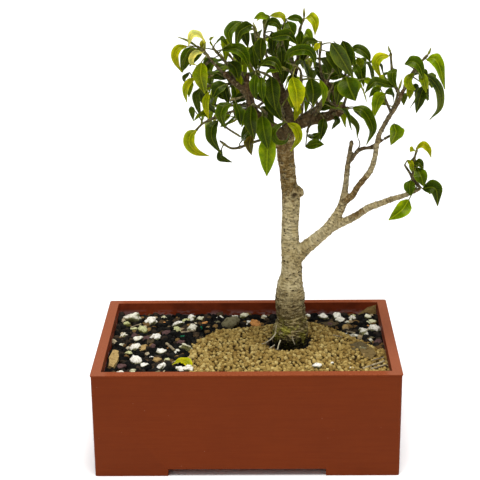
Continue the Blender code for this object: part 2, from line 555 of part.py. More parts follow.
def ground_block(name, size, step, foot, height_at):
    """A block whose top follows height_at and whose foot is flat."""
    columns = round(size[0] / step)
    rows = round(size[1] / step)
    bm = bmesh.new()
    bmesh.ops.create_grid(bm, x_segments=columns, y_segments=rows, size=0.5)
    for vert in bm.verts:
        x = vert.co.x * size[0] + POT_X
        y = vert.co.y * size[1]
        vert.co = (x, y, height_at(x, y))
    bmesh.ops.triangulate(bm, faces=bm.faces)
    rim = [edge for edge in bm.edges if edge.is_boundary]
    pulled = bmesh.ops.extrude_edge_only(bm, edges=rim)["geom"]
    for vert in (item for item in pulled if isinstance(item, bmesh.types.BMVert)):
        vert.co.z = foot
    lower = [item for item in pulled if isinstance(item, bmesh.types.BMEdge) and item.is_boundary]
    bmesh.ops.edgeloop_fill(bm, edges=lower)
    bmesh.ops.recalc_face_normals(bm, faces=bm.faces)
    return mesh_from(name, bm)


def soil_height(x, y):
    """The lumpy level of the dark soil."""
    lumps = noise.noise(Vector((x, y, 0.3)) * LUMPS_PER_METRE)
    return SOIL_TOP + SOIL_RELIEF * lumps


def gravel_height(x, y):
    """Higher round the trunk, with a grainy top and a dip at the trunk's foot."""
    across = (x - POT_X - PIT_CENTRE[0]) / MOUND_SPREAD[0]
    along = (y - PIT_CENTRE[1]) / MOUND_SPREAD[1]
    mound = math.exp(-across * across - along * along)
    grains = noise.noise(Vector((x, y, 1.7)) * GRAINS_PER_METRE)
    from_pit = math.hypot(x - POT_X - PIT_CENTRE[0], y - PIT_CENTRE[1]) - PIT_RADIUS
    dip = max(0.0, min(1.0, 1.0 - from_pit / PIT_DIP_REACH))
    return GRAVEL_TOP + MOUND_HEIGHT * mound + GRAVEL_RELIEF * grains - PIT_DIP * dip


def prism(name, outline, low, high, collection):
    """An upright block with the given outline, its points in metres from the pot's middle."""
    bm = bmesh.new()
    verts = [bm.verts.new((x + POT_X, y, low)) for x, y in outline]
    face = bm.faces.new(verts)
    top = bmesh.ops.extrude_face_region(bm, geom=[face])["geom"]
    for vert in (item for item in top if isinstance(item, bmesh.types.BMVert)):
        vert.co.z = high
    bmesh.ops.recalc_face_normals(bm, faces=bm.faces)
    return as_helper(add_object(name, mesh_from(name, bm), collection))


def grown_outline(outline, distance):
    """The outline moved outwards by a distance, for points that run clockwise from above."""
    grown = []
    for index, here in enumerate(outline):
        before = Vector(outline[index - 1])
        after = Vector(outline[(index + 1) % len(outline)])
        here = Vector(here)
        first = (here - before).normalized()
        second = (after - here).normalized()
        outward = Vector((-first.y - second.y, first.x + second.x)).normalized()
        mitre = max(0.4, outward.dot(Vector((-first.y, first.x))))
        grown.append(tuple(here + outward * distance / mitre))
    return grown


def round_outline(centre, radius, count):
    """A circle's points, clockwise from above."""
    turn = math.tau / count
    return [(centre[0] + radius * math.cos(-turn * i), centre[1] + radius * math.sin(-turn * i))
            for i in range(count)]


def stone_mesh(name, rng, x, y, size, flat):
    """A rough pebble sunk by a third in the ground."""
    bm = bmesh.new()
    bmesh.ops.create_icosphere(bm, subdivisions=1, radius=size / 2)
    for vert in bm.verts:
        vert.co *= rng.uniform(*STONE_ROUGHNESS)
    bmesh.ops.scale(bm, vec=(1.0, rng.uniform(*STONE_BREADTH), flat), verts=bm.verts)
    bmesh.ops.rotate(bm, matrix=Matrix.Rotation(rng.uniform(0, math.tau), 3, "Z"), verts=bm.verts)
    rise = soil_height(x, y) + size * STONE_RISE
    bmesh.ops.translate(bm, vec=(x, y, rise), verts=bm.verts)
    return mesh_from(name, bm)


def build_ground(parts, cutters, work, wood_clearance):
    """The dark soil with its stones, and the tan gravel that lies in a hollow of it."""
    inner = (POT_WIDTH - 2 * POT_WALL - 2 * GAP, POT_DEPTH - 2 * POT_WALL - 2 * GAP)
    edge = [(x * MM, y * MM) for x, y in GRAVEL_EDGE]
    foot = FLOOR_TOP + GAP
    soil = add_object("soil", ground_block("soil", inner, SOIL_STEP, foot, soil_height), parts)
    rng = random.Random(7)
    for x, y, size in WHITE_STONES:
        mesh = stone_mesh("stone", rng, x * MM + POT_X, y * MM, size * MM, STONE_FLATNESS)
        add_object("stone", mesh, work)
    for x, y, size in BARK_CHIPS:
        mesh = stone_mesh("chip", rng, x * MM + POT_X, y * MM, size * MM, CHIP_FLATNESS)
        add_object("chip", mesh, work)
    basin = prism("gravel_basin", grown_outline(edge, GAP), BASIN_FLOOR, POT_HEIGHT, cutters)
    boolean(soil, "DIFFERENCE", basin)
    boolean(soil, "UNION", collection=work)
    boolean(soil, "DIFFERENCE", wood_clearance)
    apply_modifiers(soil)
    gravel_mesh = ground_block("gravel", inner, GRAVEL_STEP, BASIN_FLOOR + GAP, gravel_height)
    gravel = add_object("gravel_mound", gravel_mesh, parts)
    boolean(gravel, "INTERSECT", prism("gravel_edge", edge, 0.0, POT_HEIGHT * 2, cutters))
    pit = prism("trunk_pit", round_outline(PIT_CENTRE, PIT_RADIUS, PIT_SIDES), 0.0, POT_HEIGHT * 2,
                cutters)
    boolean(gravel, "DIFFERENCE", pit)
    boolean(gravel, "DIFFERENCE", wood_clearance)
    apply_modifiers(gravel)
    empty_collection(work)
    return soil, gravel


def root_places(twigs):
    """Places along the twigs where a petiole may start, none close to the limb."""
    places = []
    for twig in twigs:
        walked = 0.0
        due = ROOT_START
        for a, b in zip(twig, twig[1:]):
            length = (b - a).length
            while due <= walked + length + 1e-6:
                places.append(a.lerp(b, (due - walked) / length))
                due += ROOT_PITCH
            walked += length
        places.append(twig[-1] - (twig[-1] - twig[-2]).normalized() * ROOT_DEPTH)
    return places


def nearest_on(twig, point):
    """The place nearest a point on the twig's centre line."""
    places = []
    for a, b in zip(twig, twig[1:]):
        along = b - a
        share = max(0.0, min(1.0, (point - a).dot(along) / along.length_squared))
        places.append(a + along * share)
    return min(places, key=lambda place: (place - point).length)


# Shares along a blade's spine, with the breadth there; the first row is the petiole's width.
CURLED_ROWS = ((0.0, None), (0.20, 0.72), (0.47, 1.0), (0.77, 0.66), (1.0, 0.0))
PLAIN_ROWS = ((0.0, None), (0.30, 0.96), (0.68, 0.80), (1.0, 0.0))
BUD_ROWS = ((0.0, None), (0.50, 1.0), (1.0, 0.0))
BUD_WIDTH = 0.003
CUP = 0.22
SPINE_INSET = 0.30
SPINE_STEPS = 24


def blade_frame(points):
    """The blade's sideways direction: square to the plane that its spine bends in."""
    middle = sum(points, Vector()) / len(points)
    across = Vector()
    for a, b in zip(points, points[1:]):
        across += (a - middle).cross(b - middle)
    if across.length < 1e-9:
        across = (points[-1] - points[0]).cross(Vector((0, 1, 0)))
    return across.normalized()


def blade_rows(root, points, width, roll):
    """Rows (left, middle, right, facing) from the petiole's root to the tip."""
    across = blade_frame(points)
    path = smooth_path(points, SPINE_STEPS)
    turn = math.radians(roll) * math.copysign(1.0, across.y)
    rows = []
    first = 3 if (path[0] - root).length < SEAT else 0
    pattern = BUD_ROWS if width < BUD_WIDTH else CURLED_ROWS if len(points) > 3 else PLAIN_ROWS
    for share, breadth in pattern:
        index = max(round(share * SPINE_STEPS), first)
        ahead = path[min(index + 1, SPINE_STEPS)] - path[max(index - 1, 0)]
        along = ahead.normalized()
        facing = along.cross(across).normalized()
        side = (across * math.cos(turn) + facing * math.sin(turn)).normalized()
        facing = along.cross(side).normalized()
        half = PETIOLE_WIDTH / 2 if breadth is None else breadth * width / 2
        lift = facing * CUP * half
        middle = path[index] - facing * SPINE_INSET * half
        rows.append((middle - side * half + lift, middle, middle + side * half + lift, facing))
    left, middle, right, facing = rows[0]
    shift = root - middle
    return [(left + shift, root, right + shift, facing)] + rows


def slab(rows):
    """The blade as plain triangles, grown by half the clearance, for testing what it touches."""
    half = (BLADE_THICKNESS + LEAF_CLEARANCE) / 2
    verts = []
    for left, middle, right, facing in rows:
        side = (right - left).normalized() * LEAF_CLEARANCE / 2
        for point in (left - side, middle, right + side):
            verts.append(point + facing * half)
            verts.append(point - facing * half)
    faces = []
    for row in range(len(rows) - 1):
        for column in range(2):
            a = row * 6 + column * 2
            for side in (0, 1):
                faces.append((a + side, a + 2 + side, a + 8 + side))
                faces.append((a + side, a + 8 + side, a + 6 + side))
        for column in (0, 2):
            a = row * 6 + column * 2
            faces.append((a, a + 1, a + 7))
            faces.append((a, a + 7, a + 6))
    return verts, faces


def tube_slab(path, grow):
    """A four-sided tube round (x, y, z, radius) points, for the same test."""
    verts = []
    faces = []
    side = (spot(path[1]) - spot(path[0])).orthogonal()
    for index, row in enumerate(path):
        here = spot(row)
        ahead = (spot(path[min(index + 1, len(path) - 1)]) - spot(path[max(index - 1, 0)])).normalized()
        side = (side - ahead * side.dot(ahead)).normalized()
        other = ahead.cross(side)
        reach = (row[3] * MM + grow) * TUBE_CORNER
        for quarter in (side, other, -side, -other):
            verts.append(here + quarter * reach)
        if index:
            base = index * 4
            for k in range(4):
                a, b = base - 4 + k, base - 4 + (k + 1) % 4
                faces.append((a, b, b + 4))
                faces.append((a, b + 4, a + 4))
    return verts, faces


class Obstacles:
    """What stands in the crown already, for keeping new blades clear of it."""

    def __init__(self):
        self.items = []

    def add(self, shape, owner):
        """Keeps a shape of vertices and faces under its owner's name."""
        verts, faces = shape
        centre = sum(verts, Vector()) / len(verts)
        reach = max((vert - centre).length for vert in verts)
        self.items.append((centre, reach, BVHTree.FromPolygons(verts, faces), owner))

    def hit(self, shape, skip):
        """Whether the shape touches anything whose owner isn't skipped."""
        verts, faces = shape
        centre = sum(verts, Vector()) / len(verts)
        reach = max((vert - centre).length for vert in verts)
        tree = None
        for other, size, other_tree, owner in self.items:
            if owner in skip or (other - centre).length > reach + size:
                continue
            tree = tree or BVHTree.FromPolygons(verts, faces)
            if tree.overlap(other_tree):
                return True
        return False


# Moves tried in turn, in depth, height and roll, until a blade is clear of the others.
BASE_SHIFT = 0.25
TIP_SHIFT = 1.2
MOVES = [(0, 0, 0)] + [
    move
    for step in (2.5, 5.0, 7.5, 10.0)
    for move in ((-step, 0, 0), (step, 0, 0), (-step, 0, 25), (step, 0, -25),
                 (0, step / 2, 20), (0, -step / 2, -20))
]


def settle_leaf(obstacles, name, roots, leaf):
    """The leaf's rows at the first move that keeps it clear, or None."""
    tone, width, roll, *points = leaf
    places = [spot(point) for point in points]
    root = min(roots, key=lambda place: (place - places[0]).length)
    for depth, height, turn in MOVES:
        moved = []
        for index, place in enumerate(places):
            share = min(1.0, BASE_SHIFT + TIP_SHIFT * index / (len(places) - 1))
            moved.append(place + Vector((0, depth * MM, height * MM)) * share)
        rows = blade_rows(root, moved, width * MM, roll + turn)
        whole = slab(rows)
        outer = tuple(a.lerp(b, STALK_SHARE) for a, b in zip(rows[0], rows[1]))
        blade = slab([outer] + rows[1:])
        if obstacles.hit(blade, skip=(name + " twig", name + " stalk")):
            continue
        if obstacles.hit(whole, skip=("limb", name + " twig", name + " stalk", name)):
            continue
        obstacles.add(blade, name)
        obstacles.add(whole, name + " stalk")
        roots.remove(root)
        return rows
    return None


def leaf_mesh(name, rows):
    """A petiole and its folded blade as a sheet of triangles, ready for a thickness."""
    bm = bmesh.new()
    lines = []
    for index, (left, middle, right, _) in enumerate(rows):
        places = (left, right) if index < 2 else (left, middle, right)
        if index == len(rows) - 1:
            places = (middle,)
        lines.append([bm.verts.new(place) for place in places])
    for near, far in zip(lines, lines[1:]):
        spine = far[len(far) // 2]
        if len(near) == 3:
            bm.faces.new((near[0], near[1], spine))
            bm.faces.new((near[1], near[2], spine))
        else:
            bm.faces.new((near[0], near[1], spine))
        if len(far) > 1:
            bm.faces.new((near[0], spine, far[0]))
        if len(far) > 2:
            bm.faces.new((near[-1], far[2], spine))
    bmesh.ops.recalc_face_normals(bm, faces=bm.faces)
    return mesh_from(name, bm)


def random_leaf(rng, twig, index, count, phase):
    """A drooping leaf that follows its place on the twig by phyllotaxy."""
    share = FIRST_LEAF + (1.0 - FIRST_LEAF) * index / (count - 1)
    span = share * (len(twig) - 1)
    first = min(int(span), len(twig) - 2)
    here = Vector(twig[first]).lerp(Vector(twig[first + 1]), span - first)
    along = (Vector(twig[first + 1]) - Vector(twig[first])).normalized()
    side = along.orthogonal().normalized()
    out = Matrix.Rotation(phase + index * PHYLLOTAXY, 3, along) @ side
    out = (out + along * rng.uniform(*PETIOLE_LEAN) + Vector((0, 0, 0.15))).normalized()
    level = Vector((out.x, out.y, 0.0))
    level = level.normalized() if level.length > 0.2 else Vector((along.y, -along.x, 0.0)).normalized()
    length = rng.uniform(*LEAF_LENGTH)
    base = here + out * rng.uniform(*PETIOLE_LENGTH)
    droop = rng.uniform(*LEAF_DROOP)
    middle = base + (out * 0.5 + level * 0.3).normalized() * length * 0.45 + Vector((0, 0, -0.06 * length))
    tip = base + level * length * LEAF_REACH + Vector((0, 0, -droop * length))
    tone = rng.choice(("dark", "dark", "mid", "mid", "bright", "olive"))
    width = rng.uniform(*LEAF_WIDTH)
    return (tone, width, rng.uniform(*LEAF_ROLL), tuple(base), tuple(middle), tuple(tip))


def twig_radii(points):
    """A twig's points with its radius, which thins towards the tip."""
    last = len(points) - 1
    return [(*point, TWIG_THICK + (TWIG_THIN - TWIG_THICK) * index / last)
            for index, point in enumerate(points)]


def spray_plans():
    """Every spray as its twigs with radii and its leaves, still to be settled."""
    rng = random.Random(21)
    plans = {}
    for name, (twigs, leaves) in SPRAYS.items():
        stem = [Vector(point) for point in twigs[0]]
        joined = twigs[:1] + [[tuple(nearest_on(stem, Vector(twig[0])))] + twig[1:] for twig in twigs[1:]]
        plans[name] = ([twig_radii(twig) for twig in joined], leaves)
    for name, (twig, count) in LEAFY_TWIGS.items():
        phase = rng.uniform(0, math.tau)
        leaves = [random_leaf(rng, twig, index, count, phase) for index in range(count)]
        end = Vector(twig[-1])
        ahead = (end - Vector(twig[-2])).normalized()
        bud = (tuple(end), tuple(end + ahead * BUD_LENGTH / 2), tuple(end + ahead * BUD_LENGTH))
        leaves.append(("lime", BUD_BREADTH, 0, *bud))
        plans[name] = ([twig_radii(twig)], leaves)
    return plans


def keep_largest_body(mesh):
    """Drops loose scraps, which the cut round a limb may leave."""
    bm = bmesh.new()
    bm.from_mesh(mesh)
    left = set(bm.verts)
    bodies = []
    while left:
        body = {left.pop()}
        front = list(body)
        while front:
            vert = front.pop()
            for edge in vert.link_edges:
                other = edge.other_vert(vert)
                if other in left:
                    left.discard(other)
                    body.add(other)
                    front.append(other)
        bodies.append(body)
    bodies.sort(key=len)
    for body in bodies[:-1]:
        bmesh.ops.delete(bm, geom=list(body), context="VERTS")
    bm.to_mesh(mesh)
    bm.free()


def build_sprays(parts, work, wood_clearance):
    """Each leafy spray as one piece; a leaf that finds no clear place is left out."""
    obstacles = Obstacles()
    obstacles.add(tube_slab(smooth_path(TRUNK, TRUNK_RINGS), LIMB_CLEARANCE), "limb")
    for points in LIMBS.values():
        obstacles.add(tube_slab(points, LIMB_CLEARANCE), "limb")
    plans = spray_plans()
    for name, (twigs, _) in plans.items():
        for twig in twigs:
            obstacles.add(tube_slab(twig, TWIG_CLEARANCE), name + " twig")
    for name, (twigs, leaves) in plans.items():
        roots = root_places([[spot(point) for point in twig] for twig in twigs])
        spray = add_object(name, tube_mesh(name, twigs[0], 0), parts)
        for twig in twigs[1:]:
            add_object(name + "_twig", tube_mesh(name, twig, 0), work)
        tones = []
        for leaf in leaves:
            rows = settle_leaf(obstacles, name, roots, leaf)
            if rows is None:
                continue
            blade = add_object(name + "_leaf", leaf_mesh("leaf", rows), work)
            wall = blade.modifiers.new("thickness", "SOLIDIFY")
            wall.thickness = BLADE_THICKNESS
            wall.offset = 0.0
            tones.append(leaf[0])
        boolean(spray, "UNION", collection=work, solver="MANIFOLD")
        boolean(spray, "DIFFERENCE", wood_clearance, solver="MANIFOLD")
        apply_modifiers(spray)
        empty_collection(work)
        keep_largest_body(spray.data)
        tone = max(TONES, key=tones.count)
        give_material(spray, name, TONES[tone], 0.35)


def main():
    """Builds the pot, the ground, the wood and the leaves."""
    for obj in list(bpy.data.objects):
        bpy.data.objects.remove(obj)
    parts = add_collection("ficus_bonsai")
    cutters = add_collection("cutters", shown=False)
    work = add_collection("work", shown=False)
    wood = build_wood(parts, work)
    give_material(wood, "bark", (0.30, 0.25, 0.15), 0.85)
    clearance = swollen_copy(wood, GAP * 1.2, cutters)
    pot = build_pot(parts, cutters)
    give_material(pot, "red_plastic", (0.21, 0.045, 0.018), 0.45)
    soil, gravel = build_ground(parts, cutters, work, clearance)
    give_material(soil, "dark_soil", (0.02, 0.018, 0.014), 0.95)
    give_material(gravel, "tan_gravel", (0.42, 0.30, 0.14), 0.95)
    build_sprays(parts, work, clearance)


main()
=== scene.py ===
"""A ficus bonsai in its pot: fine leaves, bark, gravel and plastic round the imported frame.

Tables of places are in millimetres from the middle of the pot's underside: x to the right,
y to the back, z up. Everything else is in metres.
"""

import math
import random

import bmesh
import bpy
import numpy as np
from bpy.props import FloatProperty, FloatVectorProperty, PointerProperty
from mathutils import Matrix, Vector, noise
from mathutils.bvhtree import BVHTree


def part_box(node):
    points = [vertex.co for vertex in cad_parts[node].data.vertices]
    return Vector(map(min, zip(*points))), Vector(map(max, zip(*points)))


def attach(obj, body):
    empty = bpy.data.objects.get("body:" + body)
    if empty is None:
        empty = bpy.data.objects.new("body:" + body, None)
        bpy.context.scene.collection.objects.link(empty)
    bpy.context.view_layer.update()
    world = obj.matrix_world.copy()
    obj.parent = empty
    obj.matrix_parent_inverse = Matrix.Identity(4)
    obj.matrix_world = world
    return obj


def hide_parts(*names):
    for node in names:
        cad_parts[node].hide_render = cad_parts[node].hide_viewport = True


bl_info = {
    "name": "Ficus bonsai",
    "version": (1, 0, 0),
    "blender": (4, 5, 0),
    "location": "3D View > Sidebar > Bonsai",
    "description": "Builds a potted ficus bonsai with fine leaves, bark, gravel and a plastic pot",
    "category": "Object",
}

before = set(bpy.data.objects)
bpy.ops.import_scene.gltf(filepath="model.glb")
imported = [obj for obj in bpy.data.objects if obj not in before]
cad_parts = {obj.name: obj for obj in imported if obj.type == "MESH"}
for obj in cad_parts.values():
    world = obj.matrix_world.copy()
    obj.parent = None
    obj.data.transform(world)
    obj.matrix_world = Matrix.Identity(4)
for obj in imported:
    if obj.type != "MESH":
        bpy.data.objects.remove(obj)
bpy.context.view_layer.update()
POT_LOW, POT_HIGH = (Vector(corner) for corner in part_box("pot"))
POT_X = round((POT_LOW.x + POT_HIGH.x) / 2, 4)
POT_WIDTH = POT_HIGH.x - POT_LOW.x
POT_DEPTH = POT_HIGH.y - POT_LOW.y
POT_WALL = 0.0068
FLOOR_TOP = 0.0085
GAP = 0.0003
MM = 0.001
LENGTH = {"unit": "LENGTH", "subtype": "DISTANCE", "precision": 5}

# Fine shapes of leaves, stalks, twigs and buds. Lengths are in metres.
LEAF_ROWS = 19
LEAF_COLUMNS = 9
LEAF_SHAPE = (0.75, 1.0)
LEAF_LEAST = 0.00035
BLADE_CUTS = 4
GROOVE = 0.00008
GROOVE_WIDTH = 0.0006
RIDGE = 0.00025
STALK_RADIUS = 0.00045
STALK_ROWS = 7
STALK_TONE = (0.15, 0.15, 0.006)
STALK_SIDES = 6
TWIG_STEP = 1.3
TWIG_SIDES = 8
TWIG_END = 0.55
TWIG_SPREAD = 0.15
TWIG_SLIM = 0.85
TWIG_OLD = (0.042, 0.023, 0.008)
TWIG_NEW = (0.105, 0.090, 0.008)
NODE_REACH = 0.0012
NODE_SWELL = 0.35
BUD_SLIM = 0.36
BUD_CUTS = 14
BUD_SHAPE = ((0.0, 0.45), (0.12, 0.8), (0.35, 1.0), (0.6, 0.8), (0.85, 0.4), (1.0, 0.06))
# Angles in degrees at which edges start to look sharp.
SKIN_ANGLE = 62
FLAKE_ANGLE = 40
POT_ANGLE = 35

# Bark: how finely the wood is cut, and what stands up on it. WOOD_STEP is in millimetres.
WOOD_STEP = 1.2
TRUNK_SIDES = 24
LIMB_SIDES = 14
FINE_REACH = 0.017
FINE_LOW = 0.056
FINE_HIGH = 0.200
LOW_BARK = (0.075, 0.118)
RING_PITCH = 0.0017
NODE_PITCH = 0.0055
NODE_RISE = 0.00030
# Scars of cut or fallen wood: place and radius in millimetres.
SCARS = [(32.5, 4.5, 169, 3.8), (24.5, 8, 155.5, 1.7), (18.5, 11, 95.5, 1.2), (39.5, 8.5, 113, 1.0)]
LENTICELS_TRUNK = 150
LENTICELS_LIMB = 7
LENTICEL_WIDTH = (0.0009, 0.0018)
MOSS_TOP = (0.068, 0.084)
YOUNG_BARK = (0.14, 0.0)
LIMB_AGE = {
    "branch": (0.98, 0.98), "branch_up": (0.95, 0.85), "branch_stub": (0.60, 0.20),
    "branch_top": (0.90, 0.00), "branch_low": (0.85, 0.40), "pale_stub": (0.90, 0.70),
    "knob": (0.90, 0.90), "left_nub": (0.9, 0.9), "trunk_nub": (0.9, 0.9), "root_left": (1.0, 1.0),
    "root_right": (1.0, 1.0), "root_front": (1.0, 1.0), "root_back": (1.0, 1.0),
}

# The ground's fine shapes. GRAVEL_THINS is in millimetres.
CRUMB_DENSITY = 400000.0
CRUMB_SQUASH = 0.9
GRAVEL_THINS = 7.0
PIT_SLOPE = 0.007
PIT_DEPTH = 0.0045
BED_STEP = 0.002
STONE_GROWTH = 1.30
# Lowest and highest turns of a crumb and of a stone that lies on its flat side, in radians.
ANY_TURN = ((0.0, 0.0, 0.0), (math.tau, math.tau, math.tau))
LYING_TURN = ((-0.5, -0.5, 0.0), (0.5, 0.5, math.tau))
FALLEN_LEAF = [(-39.0, -41, 62.8), (-40.0, -37, 66.0), (-44.5, -35, 66.6), (-50, -37, 64.0)]
FALLEN_TONE = (0.36, 0.34, 0.004)
FALLEN_ROLL = 62.0
FALLEN_WIDTH = 0.0075
LITTER_TONE = (0.30, 0.24, 0.16)
ROOTLET_TONE = (0.62, 0.56, 0.40)

# The camera that the photograph's perspective fits: turns in degrees, focus in pixels.
CAMERA_TURN = (0.836, 16.506, -0.553)
CAMERA_TARGET = (-4.279, 0.0, 139.972)
CAMERA_DISTANCE = 1.080319
CAMERA_FOCUS = 1590.562
SENSOR = 36.0
KEY_FROM = (0.02, -0.16, 1.20)
FRONT_FROM = (-0.7, -1.5, 0.9)

# Leaf tones, as the shader's linear colours.
LEAF_TONES = {
    "dark": (0.0200, 0.0360, 0.0012),
    "mid": (0.0380, 0.0690, 0.0010),
    "bright": (0.1400, 0.2050, 0.0012),
    "olive": (0.1750, 0.2150, 0.0015),
    "lime": (0.2900, 0.3050, 0.0020),
    "pale": (0.5000, 0.5100, 0.1200),
    "grey": (0.0480, 0.0690, 0.0100),
    "brown": (0.0800, 0.0560, 0.0060),
}

# The soil's level and lumps, and the gravel's level, mound and grains.
SOIL_TOP = 0.0605
SOIL_RELIEF = 0.0014
LUMPS_PER_METRE = 90.0
BASIN_FLOOR = 0.0555
GRAVEL_TOP = 0.0618
GRAVEL_RELIEF = 0.0011
GRAINS_PER_METRE = 260.0
MOUND_HEIGHT = 0.0026
MOUND_SPREAD = (0.055, 0.045)
PIT_CENTRE = (0.0280, 0.0080)
PIT_RADIUS = 0.0165
PIT_DIP = 0.0028
PIT_DIP_REACH = 0.010

# Twigs and leaves, as in the part's source. Radii are in millimetres, as in the tables.
TRUNK_RINGS = 27
TUBE_CORNER = 1.2
TWIG_THICK = 1.15
TWIG_THIN = 0.85
BLADE_THICKNESS = 0.0007
PETIOLE_WIDTH = 0.0008
SEAT = 0.0012
ROOT_DEPTH = 0.0005
ROOT_START = 0.0030
ROOT_PITCH = 0.0017
STALK_SHARE = 0.45
LEAF_CLEARANCE = 0.0003
LIMB_CLEARANCE = 0.0005
TWIG_CLEARANCE = 0.0003
PHYLLOTAXY = math.radians(137.5)
FIRST_LEAF = 0.22
LEAF_LENGTH = (18.0, 24.0)
LEAF_WIDTH = (8.0, 10.5)
LEAF_ROLL = (-18.0, 18.0)
LEAF_DROOP = (0.45, 0.75)
LEAF_REACH = 0.62
PETIOLE_LENGTH = (4.5, 7.5)
PETIOLE_LEAN = (0.35, 0.8)
BUD_LENGTH = 8.0
BUD_BREADTH = 2.4
BUD_WIDTH = 0.003
# Shares along a blade's spine, with the breadth there; the first row is the petiole's width.
CURLED_ROWS = ((0.0, None), (0.20, 0.72), (0.47, 1.0), (0.77, 0.66), (1.0, 0.0))
PLAIN_ROWS = ((0.0, None), (0.30, 0.96), (0.68, 0.80), (1.0, 0.0))
BUD_ROWS = ((0.0, None), (0.50, 1.0), (1.0, 0.0))
CUP = 0.22
SPINE_INSET = 0.30
SPINE_STEPS = 24
# Moves tried in turn, in depth, height and roll, until a blade is clear of the others.
BASE_SHIFT = 0.25
TIP_SHIFT = 1.2
MOVES = [(0, 0, 0)] + [
    move
    for step in (2.5, 5.0, 7.5, 10.0)
    for move in ((-step, 0, 0), (step, 0, 0), (-step, 0, 25), (step, 0, -25),
                 (0, step / 2, 20), (0, -step / 2, -20))
]

# The trunk and the limbs: points (x, y, z, radius) along each centre line.
TRUNK = [
    (31, 14, 46, 8.0), (31, 14, 54, 9.6), (31, 14, 60, 11.2), (30, 14, 68, 12.3),
    (31, 14, 74, 11.2), (31, 14, 79, 10.2), (30, 14, 87, 10.0), (30, 14, 95, 10.2),
    (30, 14, 103, 9.1), (31, 14, 112, 7.4), (31, 13, 123, 6.9), (30, 13, 134, 6.3),
    (30, 13, 147, 5.9), (30.5, 13, 157, 6.1), (30.5, 13, 168, 6.3), (29, 13, 177, 5.5),
    (28, 13, 187, 5.5), (27, 12, 195, 5.8), (27, 12, 204, 5.7), (29, 13, 214, 4.8),
]

LIMBS = {
    "branch": [(31, 13, 120, 6.0), (38, 10, 129, 5.0), (47, 6, 138, 4.4), (56, 2, 147, 4.0)],
    "branch_up": [(54, 3, 145, 3.8), (62, 0, 158, 3.2), (66, -2, 168, 2.9)],
    "branch_stub": [(65, -2, 166, 2.7), (67, -1, 178, 2.0), (68, 0, 188, 1.9), (69, 0, 197, 1.6),
                    (71, 0, 209, 1.4)],
    "stub_twig": [(70, 0, 195, 1.5), (76, -2, 203, 1.3), (83, -4, 205, 1.2), (92, -6, 211, 0.9)],
    "branch_top": [(65, -2, 167, 2.7), (71, -3, 171, 2.3), (75, -4, 178, 2.0), (83, -5, 189, 2.0),
                   (86, -6, 199, 1.8), (88, -6, 212, 1.7), (93, -7, 223, 1.6), (96, -7, 228, 1.6),
                   (100, -8, 235, 1.5), (104, -8, 245, 1.3)],
    "branch_low": [(54, 3, 145, 3.5), (61, 0, 150, 3.0), (73, -4, 157, 2.6), (82, -7, 164, 2.4),
                   (91, -9, 168, 2.2), (97, -11, 171, 2.0), (105, -13, 174, 1.7), (116, -14, 179, 1.3)],
    "left_limb": [(28, 12, 205, 5.0), (21, 8, 214, 3.9), (12, 3, 222, 3.4), (5, -1, 230, 3.2),
                  (3, -4, 239, 2.8), (1, -5, 248, 2.2), (2, -4, 255, 1.5)],
    "left_diagonal": [(3, -4, 238, 2.4), (0, -5, 243, 2.2), (-7, -7, 250, 1.9), (-14, -8, 257, 1.5)],
    "pale_stub": [(28, 11, 197, 4.6), (23, 3, 205, 3.2), (19, -3, 210, 2.6)],
    "up_limb": [(27, 12, 203, 5.2), (29, 14, 216, 4.6), (28, 15, 225, 4.0), (25, 16, 233, 3.4),
                (23, 16, 243, 2.7), (21, 14, 253, 2.0), (17, 10, 260, 1.5)],
    "up_limb_right": [(25, 16, 232, 2.9), (30, 17, 240, 2.4), (33, 15, 251, 2.0), (35, 12, 262, 1.5)],
    "right_limb": [(28, 13, 211, 5.0), (35, 10, 218, 4.4), (45, 6, 222, 3.9), (56, 2, 225, 3.3),
                   (63, -2, 229, 2.6), (65, -4, 234, 2.0)],
    "right_up": [(57, 2, 226, 2.7), (60, 2, 233, 2.3), (60, 2, 239, 2.0), (56, 0, 246, 1.7),
                 (51, -1, 250, 1.4)],
    "right_up_outer": [(60, 2, 237, 2.0), (64, 4, 245, 1.6), (67, 5, 251, 1.3)],
    "back_left": [(27, 15, 226, 3.4), (18, 28, 229, 2.6), (8, 40, 231, 2.1), (0, 50, 233, 1.6)],
    "back_right": [(30, 14, 214, 3.6), (40, 26, 219, 2.9), (50, 38, 223, 2.3), (58, 48, 228, 1.7)],
    "back_up": [(24, 16, 238, 2.5), (21, 28, 246, 2.2), (17, 38, 254, 1.7)],
    "knob": [(30, 12, 171, 4.6), (35, 10, 171, 4.3), (38, 9, 172, 3.2)],
    "left_nub": [(25, 13, 95, 2.6), (20, 12, 95.5, 1.3)],
    "trunk_nub": [(32, 11, 112, 2.4), (38.5, 9, 113, 1.1)],
    "root_left": [(29, 14, 56, 6.0), (14, 12, 46, 4.0), (-12, 6, 36, 2.2), (-38, 2, 30, 1.2)],
    "root_right": [(33, 14, 56, 6.0), (46, 10, 46, 4.0), (64, 2, 36, 2.2), (78, -4, 30, 1.2)],
    "root_front": [(31, 12, 56, 6.0), (28, 0, 46, 4.0), (22, -22, 36, 2.2), (16, -44, 30, 1.2)],
    "root_back": [(31, 16, 56, 6.0), (36, 28, 46, 3.8), (40, 44, 36, 2.2), (42, 56, 30, 1.2)],
}

